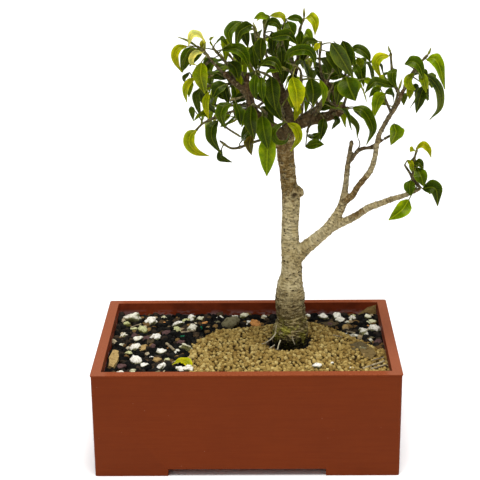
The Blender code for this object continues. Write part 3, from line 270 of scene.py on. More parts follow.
# Leafy sprays as they show from the front. Each has its twigs, the first one starting in a
# limb, and its leaves: tone, width, roll in degrees, then points from the blade's base to its tip.
SPRAYS = {
    "spray_left_tip": (
        [[(-14, -8, 256), (-21, -10, 264), (-26, -12, 271), (-31, -13, 275)],
         [(-23, -9, 265), (-29, -9, 259), (-35, -10, 254)]],
        [("olive", 2.4, 20, (-31, -13, 275), (-37, -15, 279), (-44, -17, 282)),
         ("lime", 5.5, 50, (-37, -14, 275), (-42, -17, 275), (-45, -19, 271), (-44, -19, 265),
          (-41, -17, 259)),
         ("pale", 6.5, 40, (-25, -11, 277), (-29, -12, 283), (-34, -14, 283), (-36, -15, 276)),
         ("dark", 10, -35, (-29, -14, 273), (-36, -18, 273), (-40, -20, 267), (-40, -18, 258)),
         ("pale", 4, 50, (-27, -15, 271), (-31, -19, 272), (-34, -21, 269), (-34, -20, 265),
          (-31, -17, 263)),
         ("olive", 11, 0, (-28, -17, 265), (-29, -22, 257), (-26, -19, 245)),
         ("dark", 4, 30, (-36, -9, 257), (-40, -9, 253), (-38, -8, 249)),
         ("lime", 5, 40, (-32, -12, 254), (-37, -14, 251), (-39, -14, 245), (-38, -13, 238))]),
    "spray_left_upper": (
        [[(-6, -7, 249), (-10, 1, 258), (-17, 0, 267), (-21, -2, 272)]],
        [("olive", 4, 20, (-21, -2, 273), (-23, -4, 277), (-20, -7, 280)),
         ("mid", 4.5, 30, (-19, -3, 275), (-15, -5, 279), (-11, -7, 274)),
         ("mid", 9, 30, (-15, -5, 271), (-6, -9, 273), (0, -11, 269), (3, -10, 260)),
         ("dark", 9, 20, (-10, -4, 263), (-6, -9, 260), (-4, -9, 252))]),
    "spray_top_left": (
        [[(19, 12, 256), (11, 6, 261), (8, 1, 274), (6, -2, 286)]],
        [("mid", 7, 45, (-2, -2, 289), (-6, -4, 288), (-10, -6, 284), (-10, -7, 280), (-8, -6, 274)),
         ("dark", 7.5, 35, (5, -3, 287), (2, -7, 287), (-3, -9, 284), (-5, -8, 277)),
         ("dark", 9, 10, (11, -3, 278), (10, -6, 272), (11, -5, 263))]),
    "spray_top_middle": (
        [[(17, 10, 260), (14, 5, 266), (13, 3, 275), (13, 2, 288)]],
        [("lime", 3.5, 10, (15, 0, 290), (11, -3, 292), (8, -6, 290)),
         ("olive", 5.5, 45, (17, 2, 292), (21, 1, 293), (25, 0, 292), (26, -1, 288)),
         ("dark", 6, 40, (14, 2, 287), (17, -1, 289), (21, -3, 288), (24, -3, 283)),
         ("dark", 9, 25, (17, -8, 279), (23, -13, 282), (29, -16, 282), (34, -16, 276))]),
    "spray_top_centre": (
        [[(34, 13, 257), (29, 8, 263), (25, 6, 272), (25, 4, 282), (27, 3, 290)]],
        [("mid", 5, 45, (28, 2, 290), (32, 0, 291), (36, -1, 290), (37, -1, 286)),
         ("mid", 9, 5, (28, -3, 289), (30, -7, 285), (32, -6, 279)),
         ("mid", 8, 20, (26, 6, 278), (21, 8, 274), (18, 9, 267))]),
    "spray_top_right": (
        [[(35, 12, 262), (35, 9, 271), (36, 6, 281), (39, 5, 290)]],
        [("lime", 2.4, 0, (39, 5, 290), (39, 5, 294), (39, 5, 297)),
         ("lime", 7, 40, (40, 4, 290), (43, 2, 292), (46, 0, 288), (46, 0, 280)),
         ("mid", 6, 10, (37, 2, 282), (36, 0, 277), (37, 0, 271))]),
    "spray_centre_front": (
        [[(37, 9, 219), (38, -4, 236), (37, -10, 249), (36, -14, 259), (31, -16, 263)]],
        [("mid", 7, 45, (27, -15, 264), (29, -19, 271), (36, -23, 274), (42, -23, 273),
          (45, -21, 268), (45, -19, 261)),
         ("lime", 12, 0, (31, -22, 256), (34, -27, 247), (34, -25, 234)),
         ("dark", 12, 0, (43, -16, 254), (45, -21, 246), (44, -19, 237)),
         ("bright", 5, 15, (49, -12, 252), (52, -15, 245), (51, -14, 235))]),
    "spray_centre_left": (
        [[(24, 16, 238), (20, 2, 248), (14, -7, 255), (7, -10, 258)]],
        [("dark", 11, 0, (17, -14, 255), (18, -19, 246), (20, -17, 233)),
         ("mid", 7, 10, (7, -13, 256), (6, -16, 249), (7, -15, 240)),
         ("mid", 6, 20, (11, -16, 255), (11, -19, 248), (12, -18, 240)),
         ("dark", 7, 30, (9, -10, 261), (15, -15, 266), (21, -18, 264), (24, -18, 257)),
         ("dark", 10, 10, (14, -6, 246), (18, -9, 237), (24, -7, 225))]),
    "spray_centre_low": (
        [[(12, 3, 222), (14, -6, 228), (12, -12, 232), (5, -14, 237)]],
        [("dark", 11, 0, (4, -15, 236), (3, -20, 227), (6, -18, 214)),
         ("mid", 11, 0, (11, -16, 229), (12, -22, 220), (15, -20, 207)),
         ("brown", 8, 0, (4, -11, 215), (2, -14, 210), (4, -12, 202)),
         ("bright", 12, 0, (15, -17, 216), (14, -23, 204), (14, -21, 188))]),
    "spray_left_middle": (
        [[(2, -4, 241), (-3, -9, 240), (-10, -12, 239)]],
        [("mid", 8.5, 30, (-9, -13, 237), (-14, -17, 236), (-16, -19, 230), (-13, -17, 221)),
         ("dark", 9, 20, (-12, -11, 250), (-18, -15, 248), (-21, -14, 241)),
         ("dark", 9, -20, (-6, -14, 238), (-3, -19, 233), (-3, -18, 224))]),
    "spray_left_edge": (
        [[(-6, -7, 249), (-14, -4, 248), (-22, -7, 248), (-29, -10, 246)]],
        [("dark", 5, 45, (-29, -11, 246), (-32, -14, 243), (-31, -14, 236), (-29, -13, 228)),
         ("grey", 6, 45, (-29, -11, 245), (-27, -15, 239), (-23, -16, 233), (-17, -14, 227)),
         ("lime", 5, 30, (-24, -10, 244), (-26, -13, 237), (-24, -13, 227))]),
    "spray_left_low": (
        [[(5, -1, 230), (-3, -4, 231), (-13, -7, 229), (-19, -8, 227), (-28, -10, 223),
          (-33, -11, 218)]],
        [("lime", 8, 50, (-32, -12, 219), (-36, -15, 217), (-37, -17, 211), (-32, -16, 205),
          (-24, -14, 202)),
         ("pale", 4.5, 10, (-22, -9, 225), (-25, -11, 223), (-26, -10, 218)),
         ("dark", 8.5, 30, (-18, -10, 225), (-22, -14, 222), (-22, -15, 214), (-16, -13, 204)),
         ("olive", 4, 35, (-23, -9, 226), (-28, -12, 230), (-34, -13, 225))]),
    "spray_low_left": (
        [[(19, -3, 210), (10, -3, 210), (-2, -4, 206), (-7, -5, 205), (-11, -6, 206), (-17, -8, 211)]],
        [("dark", 6, 45, (-16, -8, 205), (-17, -10, 200), (-9, -11, 197)),
         ("dark", 5, 30, (-4, -4, 208), (1, -7, 216), (4, -9, 215))]),
    "spray_trunk_top": (
        [[(27, 13, 221), (24, 2, 231), (23, -7, 231), (26, -10, 224)]],
        [("lime", 6, 45, (28, -11, 223), (33, -15, 221), (35, -16, 214), (30, -14, 205)),
         ("mid", 4.5, 50, (26, -12, 224), (21, -16, 222), (18, -18, 218), (21, -18, 212),
          (27, -16, 212), (29, -14, 217))]),
    "spray_right_inner": (
        [[(52, -1, 249), (50, -2, 255), (49, -3, 264), (50, -4, 276)]],
        [("dark", 6, 40, (48, -4, 276), (41, -7, 277), (37, -8, 272)),
         ("lime", 4, 20, (49, -5, 275), (47, -6, 273), (45, -6, 270)),
         ("grey", 11, 20, (56, -11, 276), (62, -17, 267), (70, -15, 254)),
         ("dark", 8, 30, (53, -8, 270), (59, -12, 264), (63, -10, 253))]),
    "spray_right_middle": (
        [[(66, 5, 249), (67, 3, 258), (68, 2, 268)]],
        [("dark", 9, 15, (64, -3, 276), (67, -6, 268), (69, -5, 257)),
         ("dark", 7, 35, (69, 2, 269), (74, -1, 271), (80, -3, 267), (82, -3, 262)),
         ("olive", 5, 10, (74, 2, 264), (76, 0, 261), (77, 1, 257))]),
    "spray_right_front": (
        [[(65, -4, 233), (67, -7, 243), (65, -10, 251)]],
        [("mid", 15, 10, (66, -12, 254), (68, -18, 248), (72, -17, 239)),
         ("bright", 4.5, 15, (78, -4, 251), (81, -6, 250), (85, -7, 248)),
         ("dark", 9, 20, (64, -10, 249), (62, -15, 245), (60, -14, 236))]),
    "spray_right_low": (
        [[(46, 6, 222), (42, -1, 218), (41, -4, 215)]],
        [("dark", 9, 20, (41, -6, 213), (45, -10, 213), (49, -12, 217))]),
    "spray_right_under": (
        [[(57, 2, 226), (59, -5, 228)]],
        [("dark", 6, 20, (59, -6, 227), (61, -8, 224), (57, -8, 218))]),
    "spray_right_end": (
        [[(63, -2, 230), (67, -5, 232), (68, -6, 231)]],
        [("mid", 8.5, 35, (71, -7, 232), (77, -10, 232), (82, -12, 226), (84, -12, 218),
          (80, -10, 208)),
         ("grey", 4, 45, (67, -5, 228), (70, -7, 225), (74, -8, 220), (74, -7, 212))]),
    "spray_heart": (
        [[(92, -6, 211), (95, -7, 213), (98, -8, 215)]],
        [("bright", 12, 10, (98, -9, 222), (100, -13, 217), (96, -11, 208))]),
    "spray_lobe_top": (
        [[(102, -8, 239), (98, -7, 248), (96, -7, 259), (95, -8, 269)]],
        [("olive", 2.4, 30, (95, -8, 269), (94, -9, 271), (93, -9, 274)),
         ("lime", 7, 45, (94, -9, 267), (88, -11, 267), (85, -12, 262), (89, -11, 252)),
         ("mid", 6.5, 25, (99, -10, 258), (96, -14, 257), (96, -15, 252), (99, -14, 247)),
         ("dark", 7, 45, (98, -13, 247), (92, -19, 250), (85, -22, 252), (81, -23, 249),
          (78, -22, 244)),
         ("mid", 5, 10, (95, -5, 255), (91, -4, 254), (93, -4, 249))]),
    "spray_lobe_right": (
        [[(104, -8, 245), (107, -9, 252), (114, -10, 262), (119, -11, 268)]],
        [("lime", 2.4, 0, (119, -11, 268), (120, -11, 270), (121, -11, 273)),
         ("mid", 8.5, 30, (104, -11, 262), (108, -15, 265), (113, -17, 262), (116, -16, 253)),
         ("bright", 9, 25, (118, -12, 265), (122, -16, 267), (126, -18, 262), (130, -16, 246)),
         ("grey", 6.5, 40, (117, -10, 254), (122, -13, 252), (127, -15, 244), (127, -14, 233),
          (121, -12, 225)),
         ("pale", 5, 10, (116, -9, 255), (118, -11, 250), (120, -11, 245)),
         ("olive", 6, 45, (110, -12, 256), (106, -15, 253), (107, -16, 248), (111, -16, 246)),
         ("olive", 5, 10, (109, -7, 249), (108, -8, 243), (108, -7, 238)),
         ("dark", 8.5, 35, (110, -4, 243), (113, -7, 244), (114, -8, 238), (109, -7, 230))]),
    "spray_lobe_middle": (
        [[(96, -7, 229), (93, -9, 236), (91, -10, 241)]],
        [("bright", 8, 35, (92, -10, 242), (88, -13, 241), (86, -14, 236), (85, -13, 228)),
         ("mid", 6.5, 30, (92, -9, 242), (96, -11, 243), (98, -12, 240), (98, -11, 235))]),
    "spray_low_right": (
        [[(116, -14, 179), (111, -14, 186), (111, -14, 193), (111, -14, 198), (113, -15, 206)],
         [(111, -14, 186), (105, -12, 195)]],
        [("lime", 5, 40, (112, -15, 206), (116, -18, 210), (120, -19, 207), (122, -18, 201)),
         ("olive", 5, 20, (112, -15, 205), (110, -17, 207), (108, -18, 205)),
         ("bright", 6, 10, (111, -13, 200), (111, -15, 194), (112, -14, 188)),
         ("dark", 6, 30, (111, -16, 197), (114, -19, 198), (117, -20, 194)),
         ("mid", 9, 10, (113, -16, 194), (115, -20, 190), (117, -19, 183)),
         ("mid", 8, 10, (109, -15, 185), (108, -18, 181), (109, -17, 175)),
         ("bright", 10, 20, (108, -16, 172.5), (103, -21, 168.5), (94, -21, 161.5)),
         ("dark", 10.5, 25, (117, -16, 179), (122, -19, 181), (126, -21, 178), (127, -19, 167))]),
}

# Leafy sprays inside and behind the crown: a twig that starts in a limb, and its number of leaves.
LEAFY_TWIGS = {
    "spray_back_left": ([(8, 40, 231), (-4, 42, 238), (-14, 40, 246)], 5),
    "spray_back_left_end": ([(0, 50, 233), (-8, 55, 242), (-14, 57, 252)], 4),
    "spray_back_left_low": ([(14, 32, 230), (4, 34, 222), (-6, 36, 216)], 4),
    "spray_back_top": ([(17, 38, 254), (12, 44, 264), (8, 47, 274)], 5),
    "spray_back_top_right": ([(21, 28, 246), (30, 34, 256), (36, 38, 268)], 4),
    "spray_back_right_end": ([(58, 48, 228), (66, 51, 238), (72, 52, 250)], 5),
    "spray_back_right": ([(50, 38, 223), (46, 46, 236), (44, 49, 250)], 5),
    "spray_back_right_low": ([(42, 28, 220), (48, 27, 226), (54, 28, 233)], 3),
    "spray_top_back": ([(21, 14, 253), (22, 22, 264), (22, 24, 277)], 5),
    "spray_top_back_right": ([(34, 13, 258), (41, 20, 261), (46, 23, 266)], 3),
    "spray_left_back": ([(1, -5, 249), (-5, 9, 258), (-12, 15, 266)], 5),
    "spray_left_side": ([(-9, -7, 252), (-17, 5, 252), (-27, 11, 250)], 4),
    "spray_left_under": ([(4, -2, 234), (-8, 10, 231), (-20, 15, 230)], 4),
    "spray_right_back": ([(67, 5, 250), (71, 14, 252), (74, 20, 256)], 4),
    "spray_right_top": ([(54, 0, 248), (58, 12, 252), (60, 20, 258)], 3),
    "spray_lobe_back": ([(100, -8, 235), (106, 3, 243), (112, 9, 251)], 4),
    "spray_lobe_inner": ([(94, -7, 225), (99, 1, 233), (102, 5, 242)], 4),
    "spray_centre": ([(44, 7, 222), (49, -2, 230), (53, -4, 238)], 3),
    "spray_middle": ([(33, 15, 251), (31, 4, 254), (27, -5, 258)], 4),
}

# Where the tan gravel ends on the darker soil, seen from above.
GRAVEL_EDGE = [
    (-36, -80), (-39, -42), (-41, -14), (-37, 12), (-22, 35), (2, 40), (17, 46), (44, 54),
    (61, 37), (73, 23), (82, 9), (92, -6), (104, -12), (104, -80),
]

# Leaves that close the crown between the sprays: centre, heading of the tip, tone and size.
INNER_REACH = 0.014
INNER_LEAVES = [
    (51, -4, 218, -100, "dark", 0.8), (46, -6, 208, 20, "mid", 0.8), (115, -8, 239, -110, "dark", 1.0),
    (-19, -6, 278, 10, "bright", 0.6), (-27, -10, 274, -80, "lime", 0.5), (-38, -7, 266, -115, "mid", 1.0),
    (11, -4, 293, 170, "bright", 0.6), (15, 0, 227, -50, "dark", 0.8), (0, 3, 279, -70, "dark", 0.8),
    (6, 2, 265, -80, "mid", 0.9), (116, -12, 251, -70, "olive", 0.7), (-32, -6, 267, -130, "mid", 0.8),
    (26, 4, 254, -100, "dark", 0.9), (-36, -8, 247, -100, "bright", 0.6), (109, -14, 196, -50, "olive", 0.4),
    (61, 3, 252, 20, "dark", 0.7), (-13, -2, 242, -70, "dark", 0.8), (85, -6, 243, -150, "mid", 0.5),
    (-17, 0, 252, 170, "dark", 0.7), (12, 4, 260, 0, "dark", 0.6), (-35, -8, 230, -80, "mid", 0.5),
    (35, 2, 228, -120, "olive", 0.6), (54, 3, 232, 25, "dark", 0.7), (24, 3, 266, -85, "dark", 0.7),
    (-17, -2, 237, 5, "dark", 0.8), (-3, 2, 237, -165, "dark", 0.8), (75, -4, 229, -40, "grey", 0.6),
    (74, 0, 255, -65, "mid", 0.6), (38, 0, 258, -60, "mid", 0.6), (31, 0, 235, -70, "olive", 0.6),
    (8, 3, 237, -30, "dark", 0.8), (-13, -4, 225, -140, "bright", 0.5), (49, 2, 254, -60, "dark", 0.6),
    (14, 0, 287, -95, "mid", 0.7), (-9, -4, 281, -95, "lime", 0.4), (-24, -2, 258, -120, "dark", 0.8),
    (-6, 4, 268, -60, "dark", 0.8), (18, 8, 274, -90, "dark", 0.8), (40, 6, 268, -110, "dark", 0.8),
    (32, 6, 246, -80, "dark", 0.8), (-20, -2, 246, -100, "mid", 0.7), (66, 6, 262, -90, "dark", 0.8),
]
# Bare twigs in and under the crown: rows of points in millimetres with a radius.
BARE_TWIGS = [
    [(-19, -6, 226, 0.7), (-13, -7, 220, 0.8), (-3, -6, 213, 0.9)],
    [(50, 2, 229, 0.9), (47, -4, 236, 0.7), (52, -7, 246, 0.5)],
    [(60, 0, 231, 0.8), (55, -5, 238, 0.7), (58, -8, 249, 0.5)],
    [(44, 4, 226, 0.8), (43, -4, 230, 0.6), (46, -7, 238, 0.45)],
    [(111, -14, 183, 0.7), (109, -14, 188, 0.6), (106, -13, 194, 0.45)],
    [(69, 0, 197, 0.8), (78, -3, 203, 0.6), (85, -5, 204, 0.4)],
    [(73, -1, 201, 0.6), (76, -3, 206, 0.5), (75, -3, 211, 0.4)],
    [(63, -10, 272, 0.5), (60, -11, 275, 0.4), (57, -12, 278, 0.3)],
    [(20, 6, 246, 1.0), (9, 0, 252, 0.8), (2, -4, 264, 0.6)],
]
# White and greenish pumice: x, y, size and shade, from white at 0 to green at 1.
PUMICE = [
    (-84, 57, 9.5, 0.35), (-70, 51, 7.0, 0.05), (-88, 47, 6.5, 0.85), (-81, 38, 5.2, 0.7),
    (-74, 33, 7, 0.75), (-88, 23, 4.8, 0.4), (-77, 15, 5.8, 0.3), (-65, 17, 7.2, 0.0),
    (-50, 46, 6.8, 0.05), (-50, 36, 5.4, 0.8), (-45, 54, 5.6, 0.8), (-41, 59, 6.2, 0.1),
    (-35, 57, 5.2, 0.5), (-40, 36, 8, 0.35), (-78, -4, 7, 0.2), (-81, -13, 5, 0.75),
    (-59, -11, 7, 0.1), (-65, -19, 3.4, 0.0), (-54, -24, 4.8, 0.7), (-74, -30, 8, 0.05),
    (-69, -35, 4.4, 0.1), (-58, -38, 6.6, 0.0), (-42, -4, 7, 0.5), (-48, -8, 4.0, 0.3),
    (-45, -43, 5.6, 0.0), (-39, -43, 6, 0.1), (-9, 63, 4.2, 0.2), (-3, 63, 5.4, 0.5),
    (2, 50, 5.6, 0.1), (55, 58, 6.6, 0.1), (65, 63, 6, 0.1), (67, 55, 6, 0.15), (72, 50, 4.2, 0.4),
    (76, 58, 5.4, 0.2), (77, 65, 4.4, 0.8), (89, 49, 5.4, 0.6), (90, 33, 7.4, 0.05),
    (82, 26, 7, 0.2), (75, 22, 5.4, 0.3), (71, 26, 4, 0.1), (81, -1, 3.6, 0.1), (47, -43, 5.6, 0.0),
    (57, -35, 2.8, 0.0), (70, -43, 3, 0.0), (-62, 62, 4.5, 0.6), (-88, 6, 4, 0.5), (-20, 62, 4.5, 0.3),
    (88, 60, 5, 0.5), (86, 12, 3.5, 0.3), (-84, -52, 6, 0.2), (-66, -58, 7, 0.1), (-52, -62, 5, 0.5),
    (-90, -64, 5, 0.4), (-45, -55, 4, 0.2), (-76, -46, 4.5, 0.6), (12, 62, 4, 0.4), (44, 64, 4.5, 0.2),
]
# Other stones and pellets: x, y, size and a shade that picks the colour.
ODD_STONES = [
    (-31, 52, 4.2, 0.1), (-61, 50, 3.2, 0.1), (-54, 1, 4, 0.1), (86, 44, 3.4, 0.1), (6.5, 45, 8, 0.1),
    (-34, 40, 3.4, 0.3), (-46, 21, 3.0, 0.3), (91, 9, 5.4, 0.5), (87, 18, 4, 0.7), (-70, 16, 6, 0.5),
    (-58, 30, 6, 0.5), (-80, 24, 5, 0.5), (-47, 8, 6, 0.5), (-66, 3, 5, 0.5), (-13, 43, 11.5, 0.7),
    (-73, -3, 5, 0.9), (-61, -24, 6, 0.9), (79, -12, 5.5, 0.7), (80, -20, 4.5, 0.9), (60, 44, 5, 0.5),
    (-84, -38, 5, 0.5), (-60, -50, 5, 0.7), (-52, -30, 4, 0.5), (70, 38, 4.5, 0.9), (-22, 50, 5, 0.7),
]
# Flakes of bark and dry leaf: corners in millimetres, then thickness and shade.
FLAKES = [
    ([(-91.0, -20, 67.5), (-87.5, -21, 67), (-86.5, -30, 65), (-89.0, -41, 63), (-92.5, -41, 63.5),
      (-93.0, -30, 66)], 2.2, 0.95),
    ([(71, -2, 64.8), (79, 1, 65.6), (84, -6, 64.6), (80, -14, 64.2), (72, -12, 64.0)], 1.4, 0.45),
    ([(77, -13, 65.2), (85, -11, 66.2), (88, -22, 65.2), (83, -30, 64.0), (78, -24, 64.2)], 1.4, 0.6),
    ([(50, 47, 62.5), (60, 49, 63.5), (66, 45, 63), (60, 40, 62.5), (52, 42, 62.3)], 1.3, 0.3),
    ([(80, 67.0, 62.5), (94, 67.5, 63), (93.8, 67.8, 70), (88, 68.2, 68.0)], 0.5, 0.8),
    ([(-71, 22, 63), (-66, 23, 64), (-65, 8, 63.4), (-70, 6, 62.6)], 1.3, 0.2),
    ([(-76, 0, 63), (-70, 1, 64.5), (-70, -7, 63.6), (-75, -8, 62.6)], 0.6, 0.95),
]
# Loose bits of twig: start, end and radius in millimetres.
LOOSE_TWIGS = [
    ((77, -45, 63.6), (92.5, -35, 65.2), 0.8), ((82, -47, 63.8), (93, -41, 64.6), 0.7),
    ((84, -34, 65.5), (92, -31, 66.0), 0.5), ((-47, 28, 63.0), (-37, 31, 63.8), 0.9),
    ((-56, 3, 64.2), (-50, -8, 63.4), 1.1), ((70, 22, 66.0), (76, 19, 65.4), 0.6),
    ((-84, 40, 63), (-77, 44, 64), 0.7), ((60, 10, 67.2), (66, 8, 66.8), 0.5),
]
# White rootlets at the foot of the trunk, as rows of points in millimetres with a radius.
ROOTLETS = [
    [(20, 6, 71, 0.5), (17.5, 2, 68.5, 0.45), (13.5, -1, 66.4, 0.4), (10, -2, 65.4, 0.3)],
    [(23, 1, 67, 0.5), (21.5, -3, 64.5, 0.45), (21, -7.5, 63.6, 0.4), (20, -11, 65, 0.35)],
    [(19, 0, 64, 0.45), (15.5, -3, 62.6, 0.4), (14, -5, 62.2, 0.3)],
    [(20.5, 4, 77, 0.4), (19.6, 3, 73, 0.4), (19.4, 2, 70.5, 0.3)],
    [(31, 1.2, 70, 0.4), (32, 0.6, 66.5, 0.4), (33, 0.8, 64, 0.3)],
]

# The finishes of grains and stones: a row of colours from one shade to the other, and the pits'.
GROUND_LOOKS = {
    "Tan gravel": ([(0.0, 128, 100, 48), (0.3, 154, 127, 68), (0.7, 176, 150, 86),
                    (1.0, 200, 178, 114)], (110, 84, 42)),
    "Dark soil": ([(0.0, 9, 9, 8), (0.50, 20, 19, 17), (0.66, 34, 33, 30), (0.78, 46, 38, 30),
                   (0.88, 66, 54, 40), (0.93, 98, 74, 42), (0.97, 136, 108, 64),
                   (1.0, 206, 196, 166)], (54, 50, 42)),
    # The gravel's bed shows through the gaps between grains: its dark brown is painted shade there.
    "Gravel bed": ([(0.0, 50, 36, 16), (1.0, 74, 56, 26)], (30, 22, 10)),
    "Soil bed": ([(0.0, 10, 10, 10), (1.0, 24, 20, 16)], (30, 26, 20)),
}
# Pumice also has its roughness and an olive colour for its lower sides: partly algal growth, partly painted
# shade.
STONE_LOOKS = {
    "Pumice": ([(0.0, 242, 238, 226), (0.4, 226, 222, 202), (0.7, 200, 200, 150),
                (1.0, 172, 176, 112)], (176, 172, 128), 0.95, (110, 108, 40)),
    "Odd stones": ([(0.0, 206, 144, 82), (0.2, 206, 144, 82), (0.25, 22, 104, 70),
                    (0.38, 22, 104, 70), (0.45, 92, 68, 66), (0.56, 98, 74, 72),
                    (0.65, 118, 112, 84), (0.76, 118, 112, 84), (0.85, 168, 140, 90),
                    (1.0, 168, 140, 90)], (80, 66, 50)),
    "Bark flakes": ([(0.0, 66, 54, 42), (0.45, 92, 80, 54), (0.7, 128, 106, 62),
                     (1.0, 180, 152, 98)], (48, 38, 24)),
}


def spot(point):
    """A place in the tables as a vector in metres."""
    return Vector((point[0] * MM + POT_X, point[1] * MM, point[2] * MM))


def clamp(value):
    """A number held between 0 and 1."""
    return max(0.0, min(1.0, value))


def length_of(points):
    """The length of a row of table points, in millimetres."""
    return sum((Vector(b[:3]) - Vector(a[:3])).length for a, b in zip(points, points[1:]))


def smooth_path(points, steps):
    """Points on a Catmull-Rom curve through the given ones, with any radius carried along."""
    rows = [Vector(p) for p in points]
    rows = [rows[0] * 2 - rows[1]] + rows + [rows[-1] * 2 - rows[-2]]
    path = []
    last = len(rows) - 3
    for step in range(steps + 1):
        place = step * last / steps
        first = min(int(place), last - 1)
        t = place - first
        a, b, c, d = rows[first:first + 4]
        path.append(0.5 * (2 * b + (c - a) * t + (2 * a - 5 * b + 4 * c - d) * t * t
                           + (3 * b - a - 3 * c + d) * t ** 3))
    return path


def heading(points, index):
    """The way a line of points runs at one of them."""
    return (points[min(index + 1, len(points) - 1)] - points[max(index - 1, 0)]).normalized()


def frames_along(points):
    """Each point of a line, the way it runs there, and a side that turns with it without a twist."""
    side = (points[1] - points[0]).orthogonal()
    for index, here in enumerate(points):
        ahead = heading(points, index)
        side = (side - ahead * side.dot(ahead)).normalized()
        yield here, ahead, side


def root_places(twigs):
    """Places along the twigs where a petiole may start, none close to the limb."""
    places = []
    for twig in twigs:
        walked = 0.0
        due = ROOT_START
        for a, b in zip(twig, twig[1:]):
            length = (b - a).length
            while due <= walked + length + 1e-6:
                places.append(a.lerp(b, (due - walked) / length))
                due += ROOT_PITCH
            walked += length
        places.append(twig[-1] - (twig[-1] - twig[-2]).normalized() * ROOT_DEPTH)
    return places


def nearest_on(twig, point):
    """The place nearest a point on the twig's centre line."""
    places = []
    for a, b in zip(twig, twig[1:]):
        along = b - a
        places.append(a + along * clamp((point - a).dot(along) / along.length_squared))
    return min(places, key=lambda place: (place - point).length)


def blade_frame(points):
    """The blade's sideways direction: square to the plane that its spine bends in."""
    middle = sum(points, Vector()) / len(points)
    across = Vector()
    for a, b in zip(points, points[1:]):
        across += (a - middle).cross(b - middle)
    if across.length < 1e-9:
        across = (points[-1] - points[0]).cross(Vector((0, 1, 0)))
    return across.normalized()


def blade_sides(along, across, roll):
    """The blade's side and upper face at one place of its spine, for a roll in degrees."""
    turn = math.radians(roll) * math.copysign(1.0, across.y)
    facing = along.cross(across).normalized()
    side = (across * math.cos(turn) + facing * math.sin(turn)).normalized()
    return side, along.cross(side).normalized()


def blade_rows(root, points, width, roll):
    """Rows (left, middle, right, facing) from the petiole's root to the tip."""
    across = blade_frame(points)
    path = smooth_path(points, SPINE_STEPS)
    rows = []
    first = 3 if (path[0] - root).length < SEAT else 0
    pattern = BUD_ROWS if width < BUD_WIDTH else CURLED_ROWS if len(points) > 3 else PLAIN_ROWS
    for share, breadth in pattern:
        index = max(round(share * SPINE_STEPS), first)
        side, facing = blade_sides(heading(path, index), across, roll)
        half = PETIOLE_WIDTH / 2 if breadth is None else breadth * width / 2
        lift = facing * CUP * half
        middle = path[index] - facing * SPINE_INSET * half
        rows.append((middle - side * half + lift, middle, middle + side * half + lift, facing))
    left, middle, right, facing = rows[0]
    shift = root - middle
    return [(left + shift, root, right + shift, facing)] + rows


def slab(rows):
    """The blade as plain triangles, grown by half the clearance, for testing what it touches."""
    half = (BLADE_THICKNESS + LEAF_CLEARANCE) / 2
    verts = []
    for left, middle, right, facing in rows:
        side = (right - left).normalized() * LEAF_CLEARANCE / 2
        for point in (left - side, middle, right + side):
            verts += [point + facing * half, point - facing * half]
    faces = []
    for start in range(0, 6 * (len(rows) - 1), 6):
        for a in range(start, start + 4):
            faces += [(a, a + 2, a + 8), (a, a + 8, a + 6)]
        for a in (start, start + 4):
            faces += [(a, a + 1, a + 7), (a, a + 7, a + 6)]
    return verts, faces


def tube_slab(path, grow):
    """A four-sided tube round (x, y, z, radius) points, for the same test."""
    verts = []
    faces = []
    for row, (here, ahead, side) in zip(path, frames_along([spot(row) for row in path])):
        base = len(verts)
        other = ahead.cross(side)
        reach = (row[3] * MM + grow) * TUBE_CORNER
        verts += [here + quarter * reach for quarter in (side, other, -side, -other)]
        for k in range(4 if base else 0):
            a, b = base - 4 + k, base - 4 + (k + 1) % 4
            faces += [(a, b, b + 4), (a, b + 4, a + 4)]
    return verts, faces


class Obstacles:
    """What stands in the crown already, for keeping new blades clear of it."""

    def __init__(self):
        self.items = []

    def ball(self, shape):
        """The middle of a shape and how far it reaches from there."""
        verts = shape[0]
        centre = sum(verts, Vector()) / len(verts)
        return centre, max((vert - centre).length for vert in verts)

    def add(self, shape, owner):
        """Keeps a shape of vertices and faces under its owner's name."""
        self.items.append((*self.ball(shape), BVHTree.FromPolygons(*shape), owner))

    def hit(self, shape, skip):
        """Whether the shape touches anything whose owner isn't skipped."""
        centre, reach = self.ball(shape)
        tree = None
        for other, size, other_tree, owner in self.items:
            if owner in skip or (other - centre).length > reach + size:
                continue
            tree = tree or BVHTree.FromPolygons(*shape)
            if tree.overlap(other_tree):
                return True
        return False


def settle_leaf(obstacles, name, roots, leaf):
    """The leaf's root, spine, width, roll and tone at the first move that keeps it clear, or None."""
    tone, width, roll, *points = leaf
    places = [spot(point) for point in points]
    root = min(roots, key=lambda place: (place - places[0]).length)
    own = (name + " twig", name + " stalk")
    for depth, height, turn in MOVES:
        moved = []
        for index, place in enumerate(places):
            share = min(1.0, BASE_SHIFT + TIP_SHIFT * index / (len(places) - 1))
            moved.append(place + Vector((0, depth * MM, height * MM)) * share)
        rows = blade_rows(root, moved, width * MM, roll + turn)
        whole = slab(rows)
        outer = tuple(a.lerp(b, STALK_SHARE) for a, b in zip(rows[0], rows[1]))
        blade = slab([outer] + rows[1:])
        if obstacles.hit(blade, own) or obstacles.hit(whole, ("limb", name) + own):
            continue
        obstacles.add(blade, name)
        obstacles.add(whole, name + " stalk")
        roots.remove(root)
        return root, moved, width * MM, roll + turn, tone
    return None


